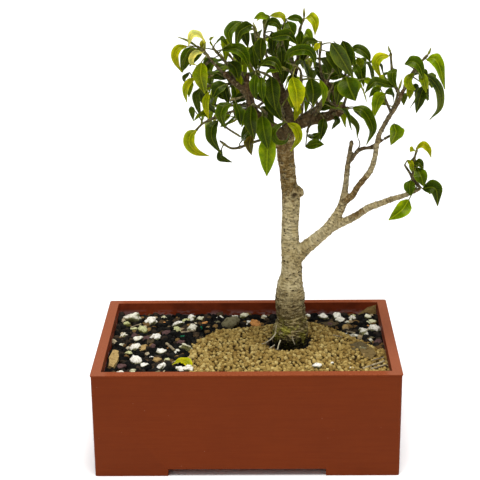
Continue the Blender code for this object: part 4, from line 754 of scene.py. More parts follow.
def random_leaf(rng, twig, index, count, phase):
    """A drooping leaf that follows its place on the twig by phyllotaxy."""
    share = FIRST_LEAF + (1.0 - FIRST_LEAF) * index / (count - 1)
    span = share * (len(twig) - 1)
    first = min(int(span), len(twig) - 2)
    here = Vector(twig[first]).lerp(Vector(twig[first + 1]), span - first)
    along = (Vector(twig[first + 1]) - Vector(twig[first])).normalized()
    side = along.orthogonal().normalized()
    out = Matrix.Rotation(phase + index * PHYLLOTAXY, 3, along) @ side
    out = (out + along * rng.uniform(*PETIOLE_LEAN) + Vector((0, 0, 0.15))).normalized()
    level = Vector((out.x, out.y, 0.0))
    level = level.normalized() if level.length > 0.2 else Vector((along.y, -along.x, 0.0)).normalized()
    length = rng.uniform(*LEAF_LENGTH)
    base = here + out * rng.uniform(*PETIOLE_LENGTH)
    droop = rng.uniform(*LEAF_DROOP)
    middle = base + (out * 0.5 + level * 0.3).normalized() * length * 0.45 + Vector((0, 0, -0.06 * length))
    tip = base + level * length * LEAF_REACH + Vector((0, 0, -droop * length))
    tone = rng.choice(("dark", "dark", "mid", "mid", "bright", "olive"))
    width = rng.uniform(*LEAF_WIDTH)
    return (tone, width, rng.uniform(*LEAF_ROLL), tuple(base), tuple(middle), tuple(tip))


def twig_radii(points):
    """A twig's points with its radius, which thins towards the tip."""
    last = len(points) - 1
    return [(*point, TWIG_THICK + (TWIG_THIN - TWIG_THICK) * index / last)
            for index, point in enumerate(points)]


def spray_plans():
    """Every spray as its twigs with radii and its leaves, still to be settled."""
    rng = random.Random(21)
    plans = {}
    for name, (twigs, leaves) in SPRAYS.items():
        stem = [Vector(point) for point in twigs[0]]
        joined = twigs[:1] + [[tuple(nearest_on(stem, Vector(twig[0])))] + twig[1:] for twig in twigs[1:]]
        plans[name] = ([twig_radii(twig) for twig in joined], leaves)
    for name, (twig, count) in LEAFY_TWIGS.items():
        phase = rng.uniform(0, math.tau)
        leaves = [random_leaf(rng, twig, index, count, phase) for index in range(count)]
        end = Vector(twig[-1])
        ahead = (end - Vector(twig[-2])).normalized()
        bud = (tuple(end), tuple(end + ahead * BUD_LENGTH / 2), tuple(end + ahead * BUD_LENGTH))
        leaves.append(("lime", BUD_BREADTH, 0, *bud))
        plans[name] = ([twig_radii(twig)], leaves)
    return plans


def srgb(*screen):
    """A colour given as screen values from 0 to 255, as the shader's linear colour."""
    shares = [value / 255 for value in screen]
    return (*(s / 12.92 if s <= 0.04045 else ((s + 0.055) / 1.055) ** 2.4 for s in shares), 1.0)


class Nodes:
    """Adds and joins nodes in one tree."""

    def __init__(self, tree):
        self.tree = tree

    def put(self, socket, value):
        """A socket takes a link from another socket, or a plain value."""
        if isinstance(value, bpy.types.NodeSocket):
            self.tree.links.new(value, socket)
        else:
            socket.default_value = value

    def add(self, kind, inputs=None, **settings):
        """A node with its settings and its inputs by name or number."""
        node = self.tree.nodes.new(kind)
        for name, value in settings.items():
            setattr(node, name, value)
        for name, value in (inputs or {}).items():
            self.put(node.inputs[name], value)
        return node

    def out(self, kind, inputs=None, output=0, **settings):
        """An output of a new node."""
        return self.add(kind, inputs, **settings).outputs[output]

    def math(self, operation, first, second=0.0, third=0.0):
        """The result of one sum on numbers."""
        return self.out("ShaderNodeMath", {0: first, 1: second, 2: third}, operation=operation)

    def mul(self, first, second):
        """One number times another."""
        return self.math("MULTIPLY", first, second)

    def mad(self, first, second, third):
        """One number times another, plus a third."""
        return self.math("MULTIPLY_ADD", first, second, third)

    def most(self, first, *others):
        """The largest of several numbers."""
        for other in others:
            first = self.math("MAXIMUM", first, other)
        return first

    def span(self, value, low, high, to_low=0.0, to_high=1.0):
        """A value stretched smoothly from one range to another, and held inside it."""
        return self.out("ShaderNodeMapRange", {0: value, 1: low, 2: high, 3: to_low, 4: to_high},
                        interpolation_type="SMOOTHSTEP")

    def blend(self, share, first, second, how="MIX"):
        """Two colours mixed by a share."""
        return self.out("ShaderNodeMix", {0: share, 6: first, 7: second}, 2, data_type="RGBA",
                        blend_type=how)

    def lay(self, under, over, mask, share):
        """One colour laid over another by a mask, up to a share."""
        return self.blend(self.mul(mask, share), under, over)

    def tint(self, colour, red, green, blue):
        """A colour with its channels made stronger or weaker."""
        return self.blend(1.0, colour, (red, green, blue, 1.0), "MULTIPLY")

    def ramp(self, value, stops):
        """A colour picked along a row of stops: a place and three screen values each."""
        node = self.add("ShaderNodeValToRGB", {0: value})
        elements = node.color_ramp.elements
        while len(elements) < len(stops):
            elements.new(0.5)
        for element, (place, *screen) in zip(elements, stops):
            element.position = place
            element.color = srgb(*screen)
        return node.outputs[0]

    def noise(self, vector, scale, detail=3.0, rough=0.55):
        """Soft noise from 0 to 1."""
        return self.out("ShaderNodeTexNoise", {"Vector": vector, "Scale": scale, "Detail": detail,
                                               "Roughness": rough})

    def read(self, name, output="Vector"):
        """An attribute of the mesh."""
        return self.out("ShaderNodeAttribute", None, output, attribute_name=name)

    def xyz(self, vector):
        """The three parts of a vector."""
        return self.add("ShaderNodeSeparateXYZ", {0: vector}).outputs

    def stretch(self, vector, x, y, z):
        """Coordinates scaled along each axis."""
        return self.out("ShaderNodeMapping", {"Vector": vector, "Scale": (x, y, z)})


class Finish(Nodes):
    """A material: its nodes, its Principled shader and the object's own coordinates."""

    def __init__(self, name, **sockets):
        self.made = bpy.data.materials.new(name)
        self.made.use_nodes = True
        super().__init__(self.made.node_tree)
        self.shader = self.tree.nodes["Principled BSDF"]
        for key, value in sockets.items():
            self.shader.inputs[key.replace("_", " ")].default_value = value
        self.here = self.out("ShaderNodeTexCoord", None, "Object")

    def group(self, name, vector, **inputs):
        """One of the shared groups, over the object's coordinates or others."""
        node = self.tree.nodes.new("ShaderNodeGroup")
        node.node_tree = bpy.data.node_groups[name]
        for key, value in {"Vector": vector or self.here, **inputs}.items():
            self.put(node.inputs[key], value)
        return node.outputs[0]

    def mottle(self, scale, contrast, vector=None):
        """Soft mottling."""
        return self.group("Mottle", vector, Scale=scale, Contrast=contrast)

    def specks(self, scale, size, share, vector=None):
        """Round specks in a share of the cells."""
        return self.group("Specks", vector, Scale=scale, Size=size, Share=share)

    def relief(self, scale, grit, vector=None):
        """Fine relief with some grit."""
        return self.group("Fine relief", vector, Scale=scale, Grit=grit)

    def upward(self):
        """How far the face looks up: 1 is straight up."""
        return self.xyz(self.out("ShaderNodeNewGeometry", None, "Normal"))[2]

    def dress(self, colour, roughness, height, strength, distance):
        """Joins a colour, a roughness and a relief to the shader."""
        bump = self.out("ShaderNodeBump", {"Strength": strength, "Distance": distance, "Height": height})
        for key, value in (("Base Color", colour), ("Roughness", roughness), ("Normal", bump)):
            self.put(self.shader.inputs[key], value)
        return self.made


def new_group(name, inputs, kind="ShaderNodeTree"):
    """A node group's nodes, its inputs and the socket for its result.

    Each input is a number, which is its default, or the name of its socket's type.
    """
    tree = bpy.data.node_groups.new(name, kind)
    for label, value in inputs.items():
        number = isinstance(value, float)
        socket = tree.interface.new_socket(label, in_out="INPUT",
                                           socket_type="NodeSocket" + ("Float" if number else value))
        if number:
            socket.default_value = value
    result = "Float" if kind == "ShaderNodeTree" else "Geometry"
    tree.interface.new_socket("Result", in_out="OUTPUT", socket_type="NodeSocket" + result)
    n = Nodes(tree)
    return n, n.add("NodeGroupInput").outputs, n.add("NodeGroupOutput").inputs[0]


def make_shared_groups():
    """The shader groups that several finishes use: mottling, specks and fine relief."""
    n, start, end = new_group("Mottle", {"Vector": "Vector", "Scale": 100.0, "Contrast": 1.0})
    broad = n.noise(start[0], start[1], 2.0)
    fine = n.noise(start[0], n.mul(start[1], 4.7), 2.0)
    centred = n.math("SUBTRACT", n.mad(fine, 0.35, n.mul(broad, 0.65)), 0.5)
    n.put(end, n.math("ADD", n.mul(n.mul(centred, 2.6), start[2]), 0.5))

    n, start, end = new_group("Specks", {"Vector": "Vector", "Scale": 400.0, "Size": 0.2, "Share": 0.2})
    cells = n.add("ShaderNodeTexVoronoi", {"Vector": start[0], "Scale": start[1]}).outputs
    mask = n.mul(n.most(n.math("SUBTRACT", start[2], cells["Distance"]), 0.0), 12.0)
    pick = n.out("ShaderNodeSeparateColor", {0: cells["Color"]})
    chosen = n.math("LESS_THAN", pick, start[3])
    n.put(end, n.math("MINIMUM", n.mul(mask, chosen), 1.0))

    n, start, end = new_group("Fine relief", {"Vector": "Vector", "Scale": 300.0, "Grit": 0.4})
    grit = n.noise(start[0], n.mul(start[1], 6.0), 3.0, 0.7)
    n.put(end, n.mad(grit, start[2], n.noise(start[0], start[1], 4.0)))


def leaf_material():
    """Glossy ficus leaf: lighter midrib and side veins, pale margin, duller underside."""
    n = Finish("Ficus leaf", Subsurface_Weight=0.05, Subsurface_Scale=0.0010, Specular_IOR_Level=0.10,
               Specular_Tint=(1.0, 1.0, 0.40, 1.0), Subsurface_Radius=(0.5, 1.0, 0.15))
    along, across, edge = n.xyz(n.read("leaf_place"))
    across = n.math("ABSOLUTE", across)
    under = n.math("SUBTRACT", 1.0, n.read("leaf_top", "Fac"))
    tone = n.read("leaf_tone", "Color")
    midrib = n.span(across, 0.02, 0.10, 1.0, 0.0)
    slant = n.mul(across, n.mad(across, 0.10, 0.13))
    wave = n.math("PINGPONG", n.mul(n.math("SUBTRACT", along, slant), 13.0), 0.5)
    vein = n.mul(n.span(wave, 0.0, 0.12, 1.0, 0.0), n.span(across, 0.7, 0.95, 1.0, 0.0))
    mottle = n.mottle(160.0, 0.8)
    patch = n.mottle(70.0, 1.1)
    flank = n.span(across, 0.06, 0.75, 0.62, 1.15)
    red = n.mul(n.span(mottle, 0.1, 0.9, 0.66, 1.30), n.span(patch, 0.2, 0.8, 0.72, 1.30))
    green = n.mul(n.span(mottle, 0.1, 0.9, 0.74, 1.22), n.span(patch, 0.2, 0.8, 0.82, 1.18))
    shade = n.out("ShaderNodeCombineXYZ", {0: n.mul(red, flank), 1: n.mul(green, flank), 2: flank})
    light = n.blend(0.40, n.tint(tone, 2.5, 2.3, 1.2), srgb(140, 148, 20))
    colour = n.lay(n.blend(1.0, tone, shade, "MULTIPLY"), light, midrib, 0.50)
    colour = n.lay(colour, light, vein, 0.22)
    colour = n.blend(n.span(n.math("ABSOLUTE", edge), 0.76, 1.0, 0.0, 0.55), colour, light)
    dull = n.blend(0.50, colour, n.blend(0.5, light, srgb(84, 98, 22)))
    colour = n.lay(colour, dull, under, 0.75)
    colour = n.lay(colour, srgb(92, 62, 30), n.specks(330.0, 0.20, 0.05), 0.6)
    roughness = n.mad(under, 0.28, n.span(mottle, 0.0, 1.0, 0.20, 0.34))
    bulge = n.math("SUBTRACT", n.mul(wave, n.span(across, 0.05, 0.5)), n.mul(midrib, 0.5))
    return n.dress(colour, roughness, n.mad(n.relief(420.0, 0.2), 0.25, bulge), 0.55, 0.0003)


def stalk_material():
    """Twigs and petioles: the tone of each, mottled, with pale dots."""
    n = Finish("Green twig", Specular_IOR_Level=0.15)
    tone = n.read("leaf_tone", "Color")
    mottle = n.mottle(420.0, 1.0)
    pale = n.blend(0.25, tone, srgb(190, 180, 130))
    colour = n.blend(n.span(mottle, 0.15, 0.85), n.tint(tone, 0.45, 0.42, 0.40), pale)
    colour = n.lay(colour, srgb(176, 160, 118), n.specks(900.0, 0.28, 0.22), 0.55)
    return n.dress(colour, n.span(mottle, 0.0, 1.0, 0.5, 0.72), n.relief(900.0, 0.3), 0.5, 0.0003)


def bark_material():
    """Tan-grey bark with dark wrinkles and lenticels, brown upper limbs and moss at the foot."""
    n = Finish("Bark", Specular_IOR_Level=0.08)
    space = n.read("bark_space")
    old, lenticel, moss = n.add("ShaderNodeSeparateColor", {0: n.read("bark_marks", "Color")}).outputs
    scar = n.read("bark_marks", "Alpha")
    flat, squat, upright = (n.stretch(space, 1.0, 1.0, z) for z in (3.4, 2.1, 0.16))
    wide = n.mottle(75.0, 1.2)
    rings = n.mottle(260.0, 1.3, flat)
    streaks = n.mottle(420.0, 1.0, upright)
    height = n.xyz(n.here)[2]
    low = n.span(height, 0.080, 0.112, 1.0, 0.0)

    tan = n.blend(n.span(wide, 0.1, 0.9), srgb(190, 171, 120), srgb(226, 211, 164))
    tan = n.blend(n.span(streaks, 0.35, 0.95, 0.0, 0.45), tan, srgb(150, 126, 78))
    # Painted shadow of the crown: old bark turns brown on the upper trunk.
    crown_shadow = n.mul(n.span(n.mad(wide, 0.05, height), 0.180, 0.205), n.math("LESS_THAN", 0.65, old))
    tan = n.lay(tan, srgb(124, 97, 50), crown_shadow, 0.95)
    olive = n.blend(n.span(wide, 0.2, 0.8), srgb(92, 79, 44), srgb(150, 132, 84))
    young = n.blend(n.span(streaks, 0.2, 0.8), srgb(48, 33, 18), srgb(96, 72, 42))
    colour = n.blend(old, young, n.lay(tan, olive, low, 0.85))

    grooves = n.span(rings, 0.20, 0.42, 1.0, 0.0)
    colour = n.lay(colour, srgb(56, 42, 22), grooves, n.mad(low, 0.52, 0.30))
    crests = n.mul(n.span(rings, 0.62, 0.95), 0.45)
    colour = n.lay(colour, srgb(216, 202, 158), crests, n.mad(old, 0.7, 0.3))
    lips, slits = (n.mul(n.span(old, 0.2, 0.8), n.specks(310.0, size, 0.34, squat))
                   for size in (0.40, 0.25))
    pale = n.most(lips, n.span(lenticel, 0.12, 0.40), n.span(scar, 0.1, 0.3))
    dark = n.most(slits, n.span(lenticel, 0.50, 0.75), n.span(scar, 0.4, 0.7))
    colour = n.lay(colour, srgb(212, 194, 144), pale, 0.5)
    colour = n.lay(colour, srgb(54, 37, 20), dark, 0.9)

    pads = n.mottle(210.0, 1.4)
    green = n.blend(n.span(pads, 0.2, 0.9), srgb(66, 66, 20), srgb(162, 158, 60))
    colour = n.lay(colour, green, n.mul(moss, n.span(pads, 0.25, 0.6)), 0.85)
    foot = n.span(n.mad(pads, 0.006, height), 0.0665, 0.0715, 0.88, 0.0)
    colour = n.blend(foot, colour, srgb(20, 19, 9))
    marks = n.mad(grooves, -0.8, n.mad(dark, -1.2, n.mul(pale, 0.6)))
    relief = n.mad(n.relief(520.0, 0.35, flat), 0.6, marks)
    return n.dress(colour, n.span(rings, 0.0, 1.0, 0.92, 0.70), relief, 1.0, 0.0006)


def plastic_material(settings):
    """Red-brown moulded plastic: even walls, a grainy rim lighter on its upward faces (partly wear, partly
    painted light from above), and mineral smears inside.
    """
    n = Finish("Pot plastic", Specular_IOR_Level=0.06)
    left_right, front_back, height = n.xyz(n.here)
    half_x, half_y = POT_WIDTH / 2, POT_DEPTH / 2
    from_middle = n.math("ABSOLUTE", n.math("SUBTRACT", left_right, POT_X))
    in_x = n.span(from_middle, half_x - 0.006, half_x - 0.004, 1.0, 0.0)
    in_y = n.span(n.math("ABSOLUTE", front_back), half_y - 0.006, half_y - 0.004, 1.0, 0.0)
    inside = n.mul(n.mul(in_x, in_y), n.span(height, 0.010, 0.014))
    top = n.mul(n.span(n.upward(), 0.3, 0.9), n.span(height, 0.066, 0.069))
    bands = n.noise(n.stretch(n.here, 0.04, 0.04, 1.0), 900.0)
    soft = n.mottle(45.0, 0.8)

    colour = n.blend(n.span(soft, 0.1, 0.9, 0.0, 0.35), (*settings.wall, 1.0), srgb(122, 52, 20))
    colour = n.blend(n.span(bands, 0.35, 0.75, 0.0, 0.30), colour, srgb(100, 38, 12))
    grain = n.noise(n.here, 1500.0, 4.0, 0.7)
    # The rim's upward faces: a lighter grainy colour, partly wear and partly painted light from above.
    rim = n.blend(n.span(grain, 0.35, 0.65), srgb(114, 49, 21), srgb(154, 82, 50))
    sides = n.span(from_middle, half_x - 0.012, half_x - 0.008)
    colour = n.blend(top, colour, n.lay(rim, srgb(158, 104, 80), sides, 0.30))
    deep = n.blend(n.span(soft, 0.1, 0.9), srgb(94, 36, 15), srgb(124, 50, 22))
    smears = n.mottle(85.0, 1.5, n.stretch(n.here, 1.0, 1.0, 2.6))
    chalk = n.mul(n.span(smears, 0.35, 0.75), n.span(height, 0.0620, 0.0672, 1.0, 0.0))
    deep = n.lay(deep, srgb(150, 128, 128), chalk, 0.62)
    colour = n.lay(colour, deep, inside, n.math("SUBTRACT", 1.0, top))
    colour = n.lay(colour, srgb(196, 150, 126), n.specks(260.0, 0.10, 0.10), 0.30)

    roughness = n.mad(top, 0.18, n.span(soft, 0.0, 1.0, 0.42, 0.58))
    grit = n.mul(n.relief(700.0, 0.5), n.span(top, 0.0, 1.0, 0.5, 1.4))
    return n.dress(colour, roughness, n.mad(bands, 0.7, grit), 0.30, 0.0003)


def grain_material(name, stops, speck, roughness=0.9, algae_and_shade=None):
    """Grains and stones, each with its own shade from the row of colours, and a pitted face."""
    n = Finish(name, Specular_IOR_Level=0.07)
    colour = n.ramp(n.read("grain_shade", "Fac"), stops)
    mottle = n.mottle(520.0, 1.1)
    colour = n.blend(n.span(mottle, 0.10, 0.55), n.tint(colour, 0.55, 0.52, 0.48), colour)
    if algae_and_shade:
        # Lower sides turn olive: partly algal growth, partly painted shade.
        turned = n.mad(n.mottle(240.0, 1.4), -0.7, n.span(n.upward(), -0.3, 0.9, 1.35, 0.15))
        colour = n.blend(n.span(turned, 0.08, 0.55, 0.0, 0.85), colour, srgb(*algae_and_shade))
    pits = n.specks(1100.0, 0.30, 0.35)
    colour = n.lay(colour, srgb(*speck), pits, 0.55)
    relief = n.mad(pits, -0.35, n.relief(700.0, 0.6))
    return n.dress(colour, n.span(mottle, 0.0, 1.0, roughness, roughness - 0.15), relief, 0.8, 0.0005)


def add_object(name, data):
    """A new object at the origin with a mesh, a light or a camera."""
    made = bpy.data.objects.new(name, data)
    bpy.context.scene.collection.objects.link(made)
    return made


def settle_piece(obj, slot, *nodes):
    """Every piece rides on the one body and may stand for CAD nodes, which are hidden; slot is not used."""
    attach(obj, "root")
    if nodes:
        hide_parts(*nodes)


def smooth(mesh, angle=None):
    """Smooth shading, with sharp edges where faces meet at more than an angle in degrees."""
    mesh.polygons.foreach_set("use_smooth", [True] * len(mesh.polygons))
    if angle:
        mesh.set_sharp_from_angle(angle=math.radians(angle))


def keep_values(mesh, name, values):
    """Writes a number, a vector or a colour for each point of a mesh."""
    values = np.asarray(values, float)
    width = 1 if values.ndim == 1 else values.shape[1]
    kind, key = {1: ("FLOAT", "value"), 3: ("FLOAT_VECTOR", "vector"), 4: ("FLOAT_COLOR", "color")}[width]
    mesh.attributes.new(name, kind, "POINT").data.foreach_set(key, values.ravel())


def point_values(mesh, name):
    """The places or the normals of a mesh's points."""
    values = np.empty(len(mesh.vertices) * 3)
    mesh.vertices.foreach_get(name, values)
    return values.reshape(-1, 3)


def mesh_from(bm, name):
    """The mesh of a finished bmesh, which is then freed."""
    mesh = bpy.data.meshes.new(name)
    bm.to_mesh(mesh)
    bm.free()
    return mesh


def plain_mesh(obj):
    """The object's mesh with its modifiers, which are then gone."""
    bpy.context.view_layer.update()
    graph = bpy.context.evaluated_depsgraph_get()
    mesh = bpy.data.meshes.new_from_object(obj.evaluated_get(graph))
    old = obj.data
    obj.modifiers.clear()
    obj.data = mesh
    bpy.data.meshes.remove(old)
    return mesh


class Growth:
    """Rings of points joined into closed skins, with a colour and a place at each point."""

    def __init__(self):
        self.verts, self.faces, self.finishes = [], [], []
        self.tones, self.places, self.tops = [], [], []
        self.count = 0

    def skin(self, rings, finish, tones, places=None, tops=None):
        """Joins rings, an array (rows, points, 3), and closes both ends."""
        rows, width, _ = rings.shape
        size = rows * width
        last = self.count + size - width
        self.verts.append(rings.reshape(-1, 3))
        for start in range(self.count, last, width):
            for k in range(width):
                a, b = start + k, start + (k + 1) % width
                self.faces.append((a, a + width, b + width, b))
        self.faces.append(tuple(range(self.count, self.count + width)))
        self.faces.append(tuple(reversed(range(last, last + width))))
        self.finishes += [finish] * (len(self.faces) - len(self.finishes))
        self.count += size
        tones = np.asarray(tones, float)
        self.tones.append(np.tile(tones, (size, 1)) if tones.ndim == 1 else np.repeat(tones, width, axis=0))
        self.places.append(np.zeros((size, 3)) if places is None else places)
        self.tops.append(np.ones(size) if tops is None else tops)

    def tube(self, points, radii, sides, finish, tones):
        """A skin round a line of points."""
        rings = []
        turns = [math.tau * k / sides for k in range(sides)]
        for radius, (here, ahead, side) in zip(radii, frames_along(points)):
            other = side.cross(ahead)
            rings.append([tuple(here + (side * math.cos(turn) + other * math.sin(turn)) * radius)
                          for turn in turns])
        self.skin(np.array(rings), finish, tones)

    def build(self, name, *finishes):
        """A new object of all the skins, with finished materials by name."""
        mesh = bpy.data.meshes.new(name)
        mesh.from_pydata(np.concatenate(self.verts).tolist(), [], self.faces)
        for finish in finishes:
            mesh.materials.append(bpy.data.materials[finish])
        mesh.polygons.foreach_set("material_index", self.finishes)
        tones = np.concatenate(self.tones)
        keep_values(mesh, "leaf_tone", np.concatenate([tones, np.ones((len(tones), 1))], axis=1))
        keep_values(mesh, "leaf_place", np.concatenate(self.places))
        keep_values(mesh, "leaf_top", np.concatenate(self.tops))
        smooth(mesh, SKIN_ANGLE)
        return add_object(name, mesh)


def shade_of(rng, tone, spread):
    """A tone made a little lighter or darker, and a little warmer or colder."""
    light = rng.uniform(1.0 - spread, 1.0 + spread)
    warm = rng.uniform(1.0 - spread / 2, 1.0 + spread / 2)
    return np.array((tone[0] * light * warm, tone[1] * light, tone[2] * light / warm))


def grow_twig(growth, rng, twig, roots):
    """A twig with a swelling at each root of a leaf, greener towards its tip."""
    path = smooth_path(twig, max(4, round(length_of(twig) / TWIG_STEP)))
    points = [spot(row) for row in path]
    radii = []
    for row, here in zip(path, points):
        swell = max((math.exp(-((here - root).length / NODE_REACH) ** 2) for root in roots), default=0.0)
        radii.append(row[3] * MM * (TWIG_SLIM + NODE_SWELL * swell))
    radii[-1] *= TWIG_END
    shares = np.linspace(0.0, 1.0, len(points))[:, None]
    old = shade_of(rng, TWIG_OLD, TWIG_SPREAD)
    new = shade_of(rng, TWIG_NEW, TWIG_SPREAD)
    growth.tube(points, radii, TWIG_SIDES, 1, old + (new - old) * shares ** 1.5)


def grow_stalk(growth, root, base, ahead, tone):
    """The leaf's stalk, which bends from the twig into the blade."""
    reach = (base - root).length
    pull = root.lerp(base, 0.55) + Vector((0.0, 0.0, 0.10 * reach))
    points = []
    for step in range(STALK_ROWS):
        t = step / (STALK_ROWS - 1)
        points.append(root * (1 - t) ** 2 + pull * 2 * t * (1 - t) + base * t * t)
    points.append(base + ahead * reach * 0.06)
    radii = [STALK_RADIUS * (1.25 - 0.35 * min(1.0, 2.5 * i / len(points))) for i in range(len(points))]
    radii[-1] = STALK_RADIUS * 0.5
    growth.tube(points, radii, STALK_SIDES, 1, np.array(tone) * 0.55 + np.array(STALK_TONE) * 0.45)


def grow_blade(growth, rng, points, width, roll, tone, looks):
    """A folded, tapering blade with a midrib, wavy margins and a curl to its tip."""
    across = blade_frame(points)
    path = smooth_path(points, BLADE_CUTS * (LEAF_ROWS - 1))
    top_power, tip_power = LEAF_SHAPE
    peak_at = top_power / (top_power + tip_power)
    peak = peak_at ** top_power * (1 - peak_at) ** tip_power
    waves = rng.uniform(2.2, 3.6)
    shift = rng.uniform(0.0, math.tau)
    skew = rng.uniform(-0.05, 0.05)
    columns = np.linspace(-1.0, 1.0, LEAF_COLUMNS)
    columns = np.sign(columns) * np.abs(columns) ** 0.85
    rings = []
    places = []
    for row in range(LEAF_ROWS):
        index = row * BLADE_CUTS
        share = row / (LEAF_ROWS - 1)
        side, facing = blade_sides(heading(path, index), across, roll)
        breadth = share ** top_power * (1 - share) ** tip_power / peak
        half = max(breadth * width / 2, LEAF_LEAST)
        upper = []
        lower = []
        spine = path[index] - facing * SPINE_INSET * half
        for t in columns:
            reach = abs(t)
            bend = CUP * half * reach
            wave = looks.wave * min(1.0, half / 0.004) * reach * reach
            bend += wave * math.sin(waves * math.tau * share + shift + (0.8 if t > 0 else 0.0))
            groove = math.exp(-(reach * half / GROOVE_WIDTH) ** 2)
            thick = looks.thickness * (1.0 - 0.45 * reach)
            place = spine + side * (t * half * (1.0 + skew * math.copysign(1.0, t))) + facing * bend
            upper.append(tuple(place + facing * (thick / 2 - GROOVE * groove)))
            lower.append(tuple(place - facing * (thick / 2 + RIDGE * groove * (1.0 - share))))
        rings.append(upper + lower[::-1])
        places += [(share, t * breadth, t) for t in np.concatenate([columns, columns[::-1]])]
    tops = np.tile(np.repeat([1.0, 0.0], LEAF_COLUMNS), LEAF_ROWS)
    growth.skin(np.array(rings), 0, tone, np.array(places), tops)
    return path[0], (path[BLADE_CUTS] - path[0]).normalized()


def grow_bud(growth, rng, points, width, tone):
    """A pointed bud or a young leaf still rolled up."""
    path = smooth_path(points, BUD_CUTS)
    shares, reach = zip(*BUD_SHAPE)
    radii = np.interp(np.linspace(0.0, 1.0, len(path)), shares, reach) * width * BUD_SLIM
    growth.tube(path, radii, TWIG_SIDES, 1, shade_of(rng, tone, 0.1))


def grow_spray(name, twigs, settled, seed, looks):
    """One leafy spray as a finished piece."""
    rng = random.Random(seed)
    growth = Growth()
    roots = [leaf[0] for leaf in settled]
    for twig in twigs:
        grow_twig(growth, rng, twig, roots)
    for root, points, width, roll, tone in settled:
        colour = shade_of(rng, LEAF_TONES[tone], looks.spread)
        if width < BUD_WIDTH:
            grow_bud(growth, rng, points, width, colour)
            continue
        base, ahead = grow_blade(growth, rng, points, width, roll, colour, looks)
        if (base - root).length > SEAT:
            grow_stalk(growth, root, base, ahead, colour)
    piece = growth.build(name + "_fine", "Ficus leaf", "Green twig")
    settle_piece(piece, "foliage", *([name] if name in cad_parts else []))


def inner_leaf(x, y, z, degrees, tone, size):
    """A leaf inside the crown by its centre in millimetres and the way its tip points."""
    turn = math.radians(degrees)
    ahead = Vector((math.cos(turn), -0.2, math.sin(turn))) * size
    centre = Vector((x, y, z))
    points = (centre - ahead * 8, centre + Vector((0, -2.5, 1.2)), centre + ahead * 8 + Vector((0, 1, -2)))
    return (tone, 8.5 * size, 8.0, *(tuple(point) for point in points))


def settle_all_leaves():
    """The leaves' final places, by the same rules as in the part's source."""
    obstacles = Obstacles()
    for line in (smooth_path(TRUNK, TRUNK_RINGS), *LIMBS.values()):
        obstacles.add(tube_slab(line, LIMB_CLEARANCE), "limb")
    plans = spray_plans()
    for name, (twigs, _) in plans.items():
        for twig in twigs:
            obstacles.add(tube_slab(twig, TWIG_CLEARANCE), name + " twig")
    result = {}
    spare = {}
    for name, (twigs, leaves) in plans.items():
        spare[name] = root_places([[spot(point) for point in twig] for twig in twigs])
        settled = [settle_leaf(obstacles, name, spare[name], leaf) for leaf in leaves]
        result[name] = (twigs, [leaf for leaf in settled if leaf])
    inner = []
    for row in INNER_LEAVES:
        leaf = inner_leaf(*row)
        start = spot(leaf[3])
        gap, name = min((min((place - start).length for place in places), name)
                        for name, places in spare.items() if places)
        if gap < INNER_REACH:
            inner.append(settle_leaf(obstacles, name, spare[name], leaf))
    result["inner_leaves"] = (BARE_TWIGS, [leaf for leaf in inner if leaf])
    return result


def wood_lines():
    """The centre lines of the trunk and every limb: points and radii in metres, about 1 mm apart."""
    lines = []
    for points in [TRUNK] + list(LIMBS.values()):
        path = smooth_path(points, max(6, round(length_of(points) / WOOD_STEP)))
        lines.append(([spot(row) for row in path], [row[3] * MM for row in path]))
    return lines


def fused_wood(lines, voxel):
    """All the tubes grown into one closed skin, with soft collars where limbs join."""
    growth = Growth()
    for number, (points, radii) in enumerate(lines):
        radii = radii[:-1] + [radii[-1] * 0.6]
        growth.tube(points, radii, LIMB_SIDES if number else TRUNK_SIDES, 0, (1.0, 1.0, 1.0))
    wood = growth.build("wood_tubes")
    remesh = wood.modifiers.new("fuse", "REMESH")
    remesh.mode = "VOXEL"
    remesh.voxel_size = voxel
    soften = wood.modifiers.new("soften", "SMOOTH")
    soften.factor = 0.5
    soften.iterations = 3
    return wood


def refine_trunk(mesh):
    """Splits the faces of the trunk once more, where the bark shows its relief."""
    bm = bmesh.new()
    bm.from_mesh(mesh)
    trunk_x = TRUNK[0][0] * MM + POT_X
    edges = set()
    for face in bm.faces:
        middle = face.calc_center_median()
        near = math.hypot(middle.x - trunk_x, middle.y - TRUNK[0][1] * MM) < FINE_REACH
        if near and FINE_LOW < middle.z < FINE_HIGH:
            edges.update(face.edges)
    bmesh.ops.subdivide_edges(bm, edges=list(edges), cuts=1, use_grid_fill=True, smooth=0.3)
    bm.to_mesh(mesh)
    bm.free()


def bark_places(co, lines):
    """For each point of the skin: its line, its place round and along it, and the line's radius."""
    rows = []
    for number, (points, sizes) in enumerate(lines):
        run = 0.0
        for index, (here, ahead, side) in enumerate(frames_along(points)):
            run += (here - points[index - 1]).length if index else 0.0
            rows.append((*here, *ahead, *side, sizes[index], run, number))
    rows = np.array(rows)
    centres, ahead, sides = rows[:, :3], rows[:, 3:6], rows[:, 6:9]
    radii, walked, owner = rows[:, 9:].T
    nearest = np.empty(len(co), int)
    for start in range(0, len(co), 4000):
        gap = np.linalg.norm(co[start:start + 4000, None] - centres[None], axis=2) - radii
        nearest[start:start + 4000] = gap.argmin(axis=1)
    offset = co - centres[nearest]
    along = walked[nearest] + (offset * ahead[nearest]).sum(axis=1)
    others = np.cross(ahead[nearest], sides[nearest])
    angle = np.arctan2((offset * others).sum(axis=1), (offset * sides[nearest]).sum(axis=1))
    return owner.astype(int)[nearest], angle, along, radii[nearest]


def noise_at(places):
    """Noise at each row of places."""
    return np.array([noise.noise(Vector(row)) for row in places])


def share_below(co, low, high):
    """1 below a height, 0 above another, for each place."""
    return np.clip((high - co[:, 2]) / (high - low), 0.0, 1.0)


